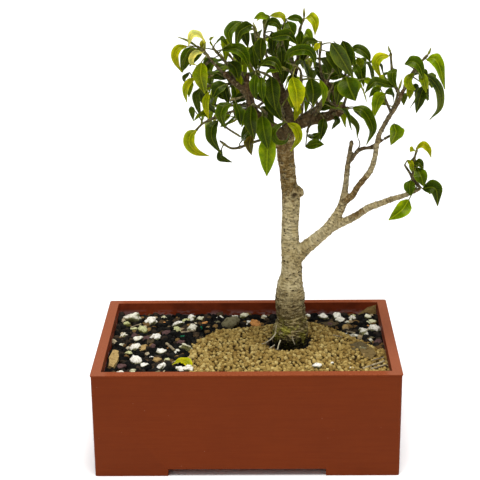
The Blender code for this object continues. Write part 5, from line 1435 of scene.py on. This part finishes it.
def lenticel_marks(owner, angle, along, radius, count):
    """How far each point of the bark lies in a lenticel, from 0 outside to 1 in its middle."""
    rng = random.Random(5)
    marks = np.zeros(len(owner))
    for number in range(count):
        mine = np.flatnonzero(owner == number)
        if not len(mine):
            continue
        span = along[mine]
        for _ in range(LENTICELS_LIMB if number else LENTICELS_TRUNK):
            at = rng.uniform(span.min(), span.max())
            turn = rng.uniform(-math.pi, math.pi)
            width = rng.uniform(*LENTICEL_WIDTH) * (0.6 if number else 1.0)
            around = (angle[mine] - turn + math.pi) % math.tau - math.pi
            distance = np.hypot(around * radius[mine] / width, (span - at) / (width * 0.55))
            marks[mine] = np.maximum(marks[mine], np.clip(1.25 - distance, 0.0, 1.0))
    return marks


def dress_bark(mesh, lines, lenticel_rise):
    """Raises the bark's pads, wrinkles and lenticels, and keeps where they lie for the colours."""
    co = point_values(mesh, "co")
    owner, angle, along, radius = bark_places(co, lines)
    normals = point_values(mesh, "normal")
    space = np.stack([np.cos(angle) * radius, np.sin(angle) * radius, along], axis=1)
    on_trunk = owner == 0
    low = share_below(co, *LOW_BARK)
    apart = np.stack([0 * owner, 0 * owner, owner * 7], axis=1)
    pads = noise_at(space * (380, 380, 1150) + apart)
    swell = noise_at(space * (105, 105, 120) + apart)
    rings = np.sin(along * math.tau / RING_PITCH + 2.5 * swell)
    rise = swell * radius * 0.030
    rise += np.where(on_trunk, pads * (0.18 + 0.50 * low) * MM, pads * 0.08 * MM)
    rise += rings * np.where(on_trunk, 0.03 + 0.04 * low, 0.05) * MM * np.clip(radius / 0.004, 0.3, 1.0)
    nodes = np.exp(-(((along / NODE_PITCH + swell * 0.5) % 1.0 - 0.5) / 0.09) ** 2)
    rise += np.where(on_trunk, 0.0, nodes) * NODE_RISE
    lenticels = lenticel_marks(owner, angle, along, radius, len(lines))
    mounds = np.sin(np.clip(lenticels, 0.0, 1.0) * math.pi * 0.85)
    rise += mounds * lenticel_rise * np.where(on_trunk, 1.0, 0.5)
    moss = np.clip(share_below(co, *MOSS_TOP) * (1.1 + 1.2 * noise_at(co * 150)), 0.0, 1.0)
    rise += moss * (0.35 + 0.5 * pads) * MM * 0.8
    lumps = noise_at(co * 600)
    rise += np.where(owner == 1 + list(LIMBS).index("knob"), lumps, lumps * 0.12) * 0.9 * MM
    scars = np.zeros(len(co))
    for x, y, z, size in SCARS:
        gap = np.linalg.norm(co - np.array(spot((x, y, z))), axis=1)
        scars = np.maximum(scars, np.clip(1.3 - gap / (size * MM), 0.0, 1.0))
    mesh.vertices.foreach_set("co", (co + normals * (rise - scars ** 2 * 0.9 * MM)[:, None]).ravel())
    ages = np.array([(1.0, 1.0)] + [LIMB_AGE.get(name, YOUNG_BARK) for name in LIMBS])
    reach = np.array([along[owner == line].max(initial=MM) for line in range(len(lines))])
    first, last = ages[owner].T
    old = first + (last - first) * np.clip(along / reach[owner], 0.0, 1.0)
    keep_values(mesh, "bark_marks", np.stack([old, lenticels, moss, scars], axis=1))
    keep_values(mesh, "bark_space", space)
    mesh.update()


def add_shape(shapes, name, bm):
    """Puts a finished bmesh into a hidden collection of shapes."""
    mesh = mesh_from(bm, name)
    smooth(mesh)
    shapes.objects.link(bpy.data.objects.new(name, mesh))


def crumb_shapes():
    """A hidden collection of rounded crumbs, each of 24 faces and 1 m across."""
    rng = random.Random(3)
    shapes = bpy.data.collections.new("crumb_shapes")
    for _ in range(6):
        bm = bmesh.new()
        bmesh.ops.create_cube(bm, size=1.0)
        bmesh.ops.subdivide_edges(bm, edges=bm.edges, cuts=1, use_grid_fill=True)
        stretch = Vector([rng.uniform(0.8, 1.2) for _ in range(3)])
        for vert in bm.verts:
            vert.co = vert.co.lerp(vert.co.normalized() * 0.55, 0.6) * rng.uniform(0.86, 1.12)
            vert.co *= stretch
            vert.co.z *= CRUMB_SQUASH
        add_shape(shapes, "crumb", bm)
    return shapes


def pebble_shapes():
    """A hidden collection of finer stones, broken and rounded, 1 m across."""
    rng = random.Random(4)
    shapes = bpy.data.collections.new("stone_shapes")
    for number in range(5):
        bm = bmesh.new()
        bmesh.ops.create_icosphere(bm, subdivisions=3, radius=0.5)
        stretch = Vector((1.0, rng.uniform(0.7, 0.95), rng.uniform(0.6, 0.8)))
        cuts = [(Vector([rng.uniform(-1, 1) for _ in range(3)]).normalized(), rng.uniform(0.30, 0.42))
                for _ in range(7)]
        for vert in bm.verts:
            for way, limit in cuts:
                over = vert.co.dot(way) - limit
                if over > 0:
                    vert.co -= way * over * 0.85
            vert.co *= 1.0 + 0.34 * noise.noise(vert.co * 4 + Vector((number, 0, 0)))
            vert.co *= 1.0 + 0.13 * noise.noise(vert.co * 11 + Vector((number, 5, 0)))
            vert.co *= stretch
        add_shape(shapes, "stone", bm)
    return shapes


def random_between(n, low, high, seed, kind="FLOAT"):
    """A random number or vector for each point."""
    first, second, output = {"FLOAT": (2, 3, 1), "FLOAT_VECTOR": (0, 1, 0), "INT": (4, 5, 2)}[kind]
    return n.out("FunctionNodeRandomValue", {first: low, second: high, "Seed": seed}, output,
                 data_type=kind)


def place_crumbs(n, points, start, size, loose):
    """The nodes that both trees share: pick, turn and size each crumb, then make it real."""
    shapes = n.out("GeometryNodeCollectionInfo", {"Collection": start["Shapes"],
                                                  "Separate Children": True, "Reset Children": True})
    low, high = (ANY_TURN if loose else LYING_TURN)
    made = n.out("GeometryNodeInstanceOnPoints", {
        "Points": points, "Instance": shapes, "Pick Instance": True,
        "Instance Index": random_between(n, 0, 99, 8, "INT"),
        "Rotation": random_between(n, low, high, 5, "FLOAT_VECTOR"), "Scale": size})
    if loose:
        made = n.out("GeometryNodeStoreNamedAttribute", {
            "Geometry": made, "Name": "grain_shade", "Value": random_between(n, 0.0, 1.0, 13)},
            data_type="FLOAT", domain="INSTANCE")
    real = n.out("GeometryNodeRealizeInstances", {0: made})
    return n.out("GeometryNodeSetMaterial", {"Geometry": real, "Material": start["Finish"]})


def scatter_tree():
    """Geometry Nodes: crumbs strewn over the top faces of a bed, no two closer than the spacing."""
    n, start, end = new_group("Scattered crumbs", {
        "Bed": "Geometry", "Shapes": "Collection", "Spacing": 0.0025, "Smallest": 0.002,
        "Largest": 0.003, "Lift": 0.0, "Finish": "Material"}, "GeometryNodeTree")
    normal = n.xyz(n.out("GeometryNodeInputNormal"))[2]
    cover = n.out("GeometryNodeInputNamedAttribute", {"Name": "cover"}, data_type="FLOAT")
    spread = n.out("GeometryNodeDistributePointsOnFaces", {
        "Mesh": start["Bed"], "Selection": n.math("GREATER_THAN", normal, 0.5),
        "Distance Min": start["Spacing"], "Density Max": CRUMB_DENSITY, "Density Factor": cover,
        "Seed": 11}, distribute_method="POISSON")
    lift = n.out("ShaderNodeCombineXYZ", {2: start["Lift"]})
    lifted = n.out("GeometryNodeSetPosition", {"Geometry": spread, "Offset": lift})
    size = random_between(n, start["Smallest"], start["Largest"], 3)
    n.put(end, place_crumbs(n, lifted, start, size, True))
    return n.tree


def stones_tree():
    """Geometry Nodes: one stone at each point of a mesh, as large as its attribute says."""
    n, start, end = new_group("Placed stones", {
        "Places": "Geometry", "Shapes": "Collection", "Finish": "Material"}, "GeometryNodeTree")
    size = n.out("GeometryNodeInputNamedAttribute", {"Name": "stone_size"}, data_type="FLOAT")
    points = n.out("GeometryNodeMeshToPoints", {0: start["Places"]})
    n.put(end, place_crumbs(n, points, start, size, False))
    return n.tree


def run_tree(obj, tree, **values):
    """Applies a Geometry Nodes tree with its named values, and leaves a plain mesh."""
    modifier = obj.modifiers.new(tree.name, "NODES")
    modifier.node_group = tree
    for item in tree.interface.items_tree:
        if item.in_out == "INPUT" and item.name in values:
            modifier[item.identifier] = values[item.name]
    plain_mesh(obj)


def join_into(target, *others):
    """Joins other objects' meshes into the target, as one piece."""
    with bpy.context.temp_override(active_object=target, object=target,
                                   selected_editable_objects=[target, *others]):
        bpy.ops.object.join()


def edge_lines(x, y):
    """A place in the tables' millimetres, and the lines of the gravel's edge."""
    return (x - POT_X) / MM, y / MM, zip(GRAVEL_EDGE, GRAVEL_EDGE[1:] + GRAVEL_EDGE[:1])


def edge_distance(x, y):
    """How far a place is from the gravel's edge, in millimetres."""
    x, y, lines = edge_lines(x, y)
    here = Vector((x, y))
    gaps = []
    for a, b in lines:
        a, b = Vector(a), Vector(b)
        share = clamp((here - a).dot(b - a) / (b - a).length_squared)
        gaps.append((a.lerp(b, share) - here).length)
    return min(gaps)


def pit_share(x, y):
    """1 in the middle of the hollow at the trunk's foot, 0 outside it."""
    distance = math.hypot(x - POT_X - PIT_CENTRE[0], y - PIT_CENTRE[1])
    return clamp((PIT_RADIUS - distance) / PIT_SLOPE)


def is_gravel(x, y):
    """Whether a place lies on the gravel's side of its edge and outside the hollow."""
    inside = pit_share(x, y) == 0.0
    x, y, lines = edge_lines(x, y)
    crossed = False
    for (x1, y1), (x2, y2) in lines:
        if (y1 > y) != (y2 > y) and x < (x2 - x1) * (y - y1) / (y2 - y1) + x1:
            crossed = not crossed
    return crossed and inside


def under_gravel(x, y, least):
    """Whether a place lies under the gravel, at least so many millimetres from its edge."""
    return is_gravel(x, y) and edge_distance(x, y) > least


def soil_height(x, y):
    """The lumpy level of the dark soil."""
    return SOIL_TOP + SOIL_RELIEF * noise.noise(Vector((x, y, 0.3)) * LUMPS_PER_METRE)


def gravel_height(x, y):
    """Higher round the trunk, with a grainy top and a dip at its foot, and thin at its edge."""
    across = (x - POT_X - PIT_CENTRE[0]) / MOUND_SPREAD[0]
    along = (y - PIT_CENTRE[1]) / MOUND_SPREAD[1]
    mound = math.exp(-across * across - along * along)
    grains = noise.noise(Vector((x, y, 1.7)) * GRAINS_PER_METRE)
    from_pit = math.hypot(x - POT_X - PIT_CENTRE[0], y - PIT_CENTRE[1]) - PIT_RADIUS
    dip = clamp(1.0 - from_pit / PIT_DIP_REACH)
    full = GRAVEL_TOP + MOUND_HEIGHT * mound + GRAVEL_RELIEF * grains - PIT_DIP * dip
    thin = min(1.0, edge_distance(x, y) / GRAVEL_THINS)
    return full * thin + (soil_height(x, y) + 0.0004) * (1.0 - thin)


def bare_height(x, y):
    """The soil's level where no gravel lies on it, down into the hollow at the trunk."""
    return soil_height(x, y) - PIT_DEPTH * pit_share(x, y)


def level_at(x, y):
    """The height of the ground at a place."""
    return gravel_height(x, y) if is_gravel(x, y) else bare_height(x, y)


def soil_level(x, y):
    """The soil's top, which lies lower under the gravel."""
    return BASIN_FLOOR if under_gravel(x, y, 2.0) else bare_height(x, y)


def soil_cover(x, y):
    """Where crumbs of soil lie: everywhere but under the gravel."""
    return 0.0 if under_gravel(x, y, 1.5) else 1.0


def bed_mesh(name, keep, level, foot, cover):
    """A closed bed over the cells of a grid that keep() accepts, with its top at level()."""
    half_x, half_y = (side / 2 - POT_WALL - GAP for side in (POT_WIDTH, POT_DEPTH))
    columns, rows = (round(2 * half / BED_STEP) for half in (half_x, half_y))
    bm = bmesh.new()
    shade = bm.verts.layers.float.new("cover")
    grid = {}

    def place(i, j):
        return POT_X - half_x + 2 * half_x * i / columns, -half_y + 2 * half_y * j / rows

    def corner(i, j):
        if (i, j) not in grid:
            x, y = place(i, j)
            grid[i, j] = bm.verts.new((x, y, level(x, y)))
            grid[i, j][shade] = cover(x, y)
        return grid[i, j]

    for i in range(columns):
        for j in range(rows):
            if keep(*place(i + 0.5, j + 0.5)):
                bm.faces.new((corner(i, j), corner(i + 1, j), corner(i + 1, j + 1), corner(i, j + 1)))
    top = list(bm.faces)
    lower = bmesh.ops.duplicate(bm, geom=top)
    doubles = dict(lower["vert_map"].items())
    for face in (item for item in lower["geom"] if isinstance(item, bmesh.types.BMFace)):
        face.normal_flip()
        for vert in face.verts:
            vert.co.z = foot
    for edge in [e for face in top for e in face.edges if e.is_boundary]:
        loop = edge.link_loops[0]
        a, b = loop.vert, loop.link_loop_next.vert
        bm.faces.new((b, a, doubles[a], doubles[b]))
    mesh = mesh_from(bm, name)
    smooth(mesh)
    return mesh


def stone_places(name, rows, sink):
    """A mesh of points with a size and a shade each, resting on the ground."""
    mesh = bpy.data.meshes.new(name)
    verts = []
    for x, y, size, _ in rows:
        here = (x * MM + POT_X, y * MM)
        verts.append((*here, level_at(*here) + size * MM * sink))
    mesh.from_pydata(verts, [], [])
    keep_values(mesh, "stone_size", [row[2] * STONE_GROWTH * MM for row in rows])
    keep_values(mesh, "grain_shade", [row[3] for row in rows])
    return mesh


def flake_object(corners, thick, shade, material):
    """A thin broken flake of bark or leaf: a ring of corners, cut fine, bent and thickened."""
    bm = bmesh.new()
    face = bm.faces.new([bm.verts.new(spot(corner)) for corner in corners])
    bmesh.ops.poke(bm, faces=[face])
    bmesh.ops.subdivide_edges(bm, edges=bm.edges, cuts=2, use_grid_fill=True)
    bmesh.ops.triangulate(bm, faces=bm.faces)
    for vert in bm.verts:
        vert.co += Vector((0, 0, 1)) * noise.noise(vert.co * 420) * thick * 0.7
    bmesh.ops.recalc_face_normals(bm, faces=bm.faces)
    mesh = mesh_from(bm, "flake")
    mesh.materials.append(material)
    obj = add_object("flake", mesh)
    wall = obj.modifiers.new("thickness", "SOLIDIFY")
    wall.thickness = thick
    wall.offset = 0.0
    mesh = plain_mesh(obj)
    smooth(mesh, FLAKE_ANGLE)
    keep_values(mesh, "grain_shade", [shade] * len(mesh.vertices))
    return obj


class BonsaiLeafSettings(bpy.types.PropertyGroup):
    """Sizes of the leaves."""

    thickness: FloatProperty(name="Leaf thickness", description="Thickness of a blade at its midrib",
                             default=0.00036, min=0.0001, **LENGTH)
    wave: FloatProperty(name="Margin wave", description="How far the margins ripple",
                        default=0.00035, min=0.0, **LENGTH)
    spread: FloatProperty(name="Tone spread", description="How much leaves differ from their tone",
                          default=0.12, min=0.0, max=0.5, subtype="FACTOR")


class BonsaiWoodSettings(bpy.types.PropertyGroup):
    """Sizes of the wood and its bark."""

    voxel: FloatProperty(name="Wood detail", description="Size of the cells that the wood is cut from",
                         default=0.0008, min=0.0004, **LENGTH)
    lenticel_rise: FloatProperty(name="Lenticel height", description="How far lenticels stand up",
                                 default=0.00035, min=0.0, **LENGTH)


class BonsaiPotSettings(bpy.types.PropertyGroup):
    """Edges and colour of the pot."""

    edge_round: FloatProperty(name="Edge rounding", description="Radius of the pot's moulded edges",
                              default=0.0005, min=0.0001, **LENGTH)
    wall: FloatVectorProperty(name="Wall colour", description="Colour of the plastic", size=3,
                              default=srgb(112, 46, 14)[:3], min=0.0, max=1.0, subtype="COLOR")


class BonsaiGroundSettings(bpy.types.PropertyGroup):
    """Sizes of the gravel and the soil."""

    gravel_spacing: FloatProperty(name="Gravel spacing", description="Least distance between two grains",
                                  default=0.0021, min=0.001, **LENGTH)
    gravel_size: FloatProperty(name="Gravel size", description="Size of the largest grains of gravel",
                               default=0.0031, min=0.001, **LENGTH)
    soil_spacing: FloatProperty(name="Soil spacing", description="Least distance between two crumbs",
                                default=0.0026, min=0.001, **LENGTH)
    soil_size: FloatProperty(name="Soil size", description="Size of the largest crumbs of soil",
                             default=0.0052, min=0.001, **LENGTH)


class BonsaiStageSettings(bpy.types.PropertyGroup):
    """The floor and the lights."""

    floor_size: FloatProperty(name="Floor size", description="Side of the pale floor",
                              default=12.0, min=2.0, **LENGTH)
    key_strength: FloatProperty(name="Overhead light", description="Strength of the soft light above",
                                default=3.8, min=0.0)
    key_angle: FloatProperty(name="Overhead softness", description="How wide the light above spreads",
                             default=math.radians(38), min=0.0, max=math.pi, unit="ROTATION", subtype="ANGLE")
    front_power: FloatProperty(name="Front light", description="Power of the soft light in front",
                               default=3.0, min=0.0, unit="POWER")


class BONSAI_OT_wood(bpy.types.Operator):
    """Builds the trunk and limbs with their bark, and the rootlets"""

    bl_idname = "bonsai.wood"
    bl_label = "Trunk and limbs"

    def execute(self, context):
        settings = context.scene.bonsai_wood
        lines = wood_lines()
        wood = fused_wood(lines, settings.voxel)
        mesh = plain_mesh(wood)
        refine_trunk(mesh)
        smooth(mesh)
        dress_bark(mesh, lines, settings.lenticel_rise)
        for name in ("leaf_tone", "leaf_place", "leaf_top"):
            if name in mesh.attributes:
                mesh.attributes.remove(mesh.attributes[name])
        mesh.materials.clear()
        mesh.materials.append(bark_material())
        wood.name = "trunk_and_limbs_fine"
        settle_piece(wood, "bark", "trunk_and_limbs")
        growth = Growth()
        for row in ROOTLETS:
            path = smooth_path(row, 10)
            radii = [point[3] * MM for point in path]
            growth.tube([spot(point) for point in path], radii, TWIG_SIDES, 0, ROOTLET_TONE)
        settle_piece(growth.build("rootlets", "Green twig"), "bark")
        return {"FINISHED"}


class BONSAI_OT_leaves(bpy.types.Operator):
    """Builds every leafy spray with its twigs, stalks, leaves and buds"""

    bl_idname = "bonsai.leaves"
    bl_label = "Leafy sprays"

    def execute(self, context):
        leaf_material()
        stalk_material()
        for seed, (name, (twigs, settled)) in enumerate(settle_all_leaves().items()):
            grow_spray(name, twigs, settled, seed, context.scene.bonsai_leaves)
        return {"FINISHED"}


class BONSAI_OT_pot(bpy.types.Operator):
    """Rounds the edges of the moulded pot and gives it its plastic"""

    bl_idname = "bonsai.pot"
    bl_label = "Pot"

    def execute(self, context):
        settings = context.scene.bonsai_pot
        bm = bmesh.new()
        bm.from_mesh(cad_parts["pot"].data)
        bmesh.ops.remove_doubles(bm, verts=bm.verts, dist=1e-5)
        bmesh.ops.join_triangles(bm, faces=bm.faces, angle_face_threshold=math.radians(1),
                                 angle_shape_threshold=math.pi)
        pot = add_object("pot_fine", mesh_from(bm, "pot_fine"))
        pot.data.materials.append(plastic_material(settings))
        bevel = pot.modifiers.new("edges", "BEVEL")
        bevel.width = settings.edge_round
        bevel.segments = 3
        bevel.angle_limit = math.radians(30)
        smooth(plain_mesh(pot), POT_ANGLE)
        settle_piece(pot, "pot_plastic", "pot")
        return {"FINISHED"}


class BONSAI_OT_ground(bpy.types.Operator):
    """Builds the tan gravel and the dark soil, grain by grain"""

    bl_idname = "bonsai.ground"
    bl_label = "Gravel and soil"

    def execute(self, context):
        settings = context.scene.bonsai_ground
        finishes = {name: grain_material(name, *looks) for name, looks in GROUND_LOOKS.items()}
        tree = scatter_tree()
        crumbs = crumb_shapes()
        beds = [
            ("gravel_fine", is_gravel, gravel_height, BASIN_FLOOR + GAP, lambda x, y: 1.0, "Gravel bed",
             "Tan gravel", settings.gravel_spacing, settings.gravel_size, 0.65, 0.24, "tan_gravel",
             "gravel_mound"),
            ("soil_fine", lambda x, y: True, soil_level, FLOOR_TOP + GAP, soil_cover, "Soil bed",
             "Dark soil", settings.soil_spacing, settings.soil_size, 0.45, 0.12, "dark_soil", "soil"),
        ]
        for name, keep, level, foot, cover, under, finish, spacing, largest, least, lift, slot, node in beds:
            mesh = bed_mesh(name, keep, level, foot, cover)
            mesh.materials.append(finishes[under])
            bed = add_object(name, mesh)
            grains = add_object(name + "_grains", mesh.copy())
            run_tree(grains, tree, Shapes=crumbs, Spacing=spacing, Smallest=largest * least,
                     Largest=largest, Lift=largest * lift, Finish=finishes[finish])
            join_into(bed, grains)
            settle_piece(bed, slot, node)
        return {"FINISHED"}


class BONSAI_OT_stones(bpy.types.Operator):
    """Lays the pumice, the odd stones, the flakes of bark and the loose twigs on the ground"""

    bl_idname = "bonsai.stones"
    bl_label = "Stones and litter"

    def execute(self, context):
        tree = stones_tree()
        stones = pebble_shapes()
        pumice, odd, bark = (grain_material(name, *looks) for name, looks in STONE_LOOKS.items())
        kinds = (("pumice", PUMICE, pumice, 0.40), ("odd_stones", ODD_STONES, odd, 0.32))
        for name, rows, finish, sink in kinds:
            piece = add_object(name, stone_places(name, rows, sink))
            run_tree(piece, tree, Shapes=stones, Finish=finish)
            settle_piece(piece, "dark_soil")
        pieces = [flake_object(corners, thick * MM, shade, bark) for corners, thick, shade in FLAKES]
        join_into(*pieces)
        pieces[0].name = "bark_flakes"
        settle_piece(pieces[0], "dark_soil")
        rng = random.Random(3)
        for _ in FLAKES:
            rng.random()
        growth = Growth()
        for start, end, radius in LOOSE_TWIGS:
            start, end = spot(start), spot(end)
            points = [start.lerp(end, step / 6) for step in range(7)]
            points = [point + Vector([rng.uniform(-0.25, 0.25) * MM for _ in range(3)]) for point in points]
            radii = [radius * MM * rng.uniform(0.85, 1.1) for _ in points]
            growth.tube(points, radii, TWIG_SIDES, 0, LITTER_TONE)
        settle_piece(growth.build("loose_twigs", "Green twig"), "dark_soil")
        growth = Growth()
        blade = [spot(point) for point in FALLEN_LEAF]
        grow_blade(growth, rng, blade, FALLEN_WIDTH, FALLEN_ROLL, FALLEN_TONE, context.scene.bonsai_leaves)
        settle_piece(growth.build("fallen_leaf", "Ficus leaf"), "foliage")
        return {"FINISHED"}


def add_light(name, kind, place, **settings):
    """A light that faces the middle of the object."""
    light = bpy.data.lights.new(name, kind)
    for key, value in settings.items():
        setattr(light, key, value)
    lamp = add_object(name, light)
    lamp.location = place
    middle = Vector((POT_X, 0.0, 0.12))
    lamp.rotation_euler = (middle - Vector(place)).to_track_quat("-Z", "Y").to_euler()


class BONSAI_OT_stage(bpy.types.Operator):
    """Sets the pale floor, the soft lights and the camera"""

    bl_idname = "bonsai.stage"
    bl_label = "Floor, lights and camera"

    def execute(self, context):
        settings = context.scene.bonsai_stage
        mesh = bpy.data.meshes.new("floor")
        half = settings.floor_size / 2
        mesh.from_pydata([(-half, -half, 0), (half, -half, 0), (half, half, 0), (-half, half, 0)], [],
                         [(0, 1, 2, 3)])
        n = Finish("Pale floor", Specular_IOR_Level=0.2)
        soft = n.noise(n.here, 6.0)
        n.put(n.shader.inputs["Base Color"], n.blend(soft, srgb(250, 250, 250), srgb(253, 253, 253)))
        n.put(n.shader.inputs["Roughness"], n.span(soft, 0.0, 1.0, 0.85, 0.95))
        mesh.materials.append(n.made)
        add_object("floor", mesh)
        world = bpy.data.worlds.new("studio")
        world.use_nodes = True
        sky = world.node_tree.nodes["Background"]
        sky.inputs[0].default_value = (1.0, 1.0, 1.0, 1.0)
        sky.inputs[1].default_value = 0.25
        context.scene.world = world
        add_light("overhead", "SUN", KEY_FROM, energy=settings.key_strength, angle=settings.key_angle)
        add_light("front", "AREA", FRONT_FROM, energy=settings.front_power, size=0.8)
        context.scene.view_settings.view_transform = "Standard"
        yaw, pitch, roll = (math.radians(angle) for angle in CAMERA_TURN)
        back = Vector((math.sin(yaw) * math.cos(pitch), -math.cos(yaw) * math.cos(pitch), math.sin(pitch)))
        right = Vector((math.cos(yaw), math.sin(yaw), 0.0))
        up = back.cross(right)
        level = right * math.cos(roll) + up * math.sin(roll)
        upright = up * math.cos(roll) - right * math.sin(roll)
        camera = bpy.data.cameras.new("camera")
        camera.sensor_width = SENSOR
        camera.lens = CAMERA_FOCUS / 480 * SENSOR
        camera.clip_start = 0.01
        view = add_object("camera", camera)
        turn = Matrix((level, upright, back)).transposed().to_4x4()
        view.matrix_world = Matrix.Translation(spot(CAMERA_TARGET) + back * CAMERA_DISTANCE) @ turn
        context.scene.camera = view
        return {"FINISHED"}


class BONSAI_PT_panel(bpy.types.Panel):
    """Lists the steps and their settings in the sidebar"""

    bl_label = "Ficus bonsai"
    bl_idname = "BONSAI_PT_panel"
    bl_space_type = "VIEW_3D"
    bl_region_type = "UI"
    bl_category = "Bonsai"

    def draw(self, context):
        for operator, pointer in STEPS:
            box = self.layout.box()
            box.operator(operator.bl_idname)
            settings = getattr(context.scene, pointer)
            for item in settings.bl_rna.properties:
                if item.identifier not in ("rna_type", "name"):
                    box.prop(settings, item.identifier)


STEPS = [
    (BONSAI_OT_pot, "bonsai_pot"),
    (BONSAI_OT_leaves, "bonsai_leaves"),
    (BONSAI_OT_wood, "bonsai_wood"),
    (BONSAI_OT_ground, "bonsai_ground"),
    (BONSAI_OT_stones, "bonsai_ground"),
    (BONSAI_OT_stage, "bonsai_stage"),
]
SETTINGS = {
    "bonsai_pot": BonsaiPotSettings,
    "bonsai_leaves": BonsaiLeafSettings,
    "bonsai_wood": BonsaiWoodSettings,
    "bonsai_ground": BonsaiGroundSettings,
    "bonsai_stage": BonsaiStageSettings,
}


def register():
    """Adds the settings, the operators and the panel."""
    for name, group in SETTINGS.items():
        bpy.utils.register_class(group)
        setattr(bpy.types.Scene, name, PointerProperty(type=group))
    for operator, _ in STEPS:
        bpy.utils.register_class(operator)
    bpy.utils.register_class(BONSAI_PT_panel)


def unregister():
    """Takes them away again."""
    bpy.utils.unregister_class(BONSAI_PT_panel)
    for operator, _ in reversed(STEPS):
        bpy.utils.unregister_class(operator)
    for name, group in SETTINGS.items():
        delattr(bpy.types.Scene, name)
        bpy.utils.unregister_class(group)


def main():
    register()
    make_shared_groups()
    bpy.ops.bonsai.pot()
    bpy.ops.bonsai.leaves()
    bpy.ops.bonsai.wood()
    bpy.ops.bonsai.ground()
    bpy.ops.bonsai.stones()
    bpy.ops.bonsai.stage()


if __name__ == "__main__":
    main()
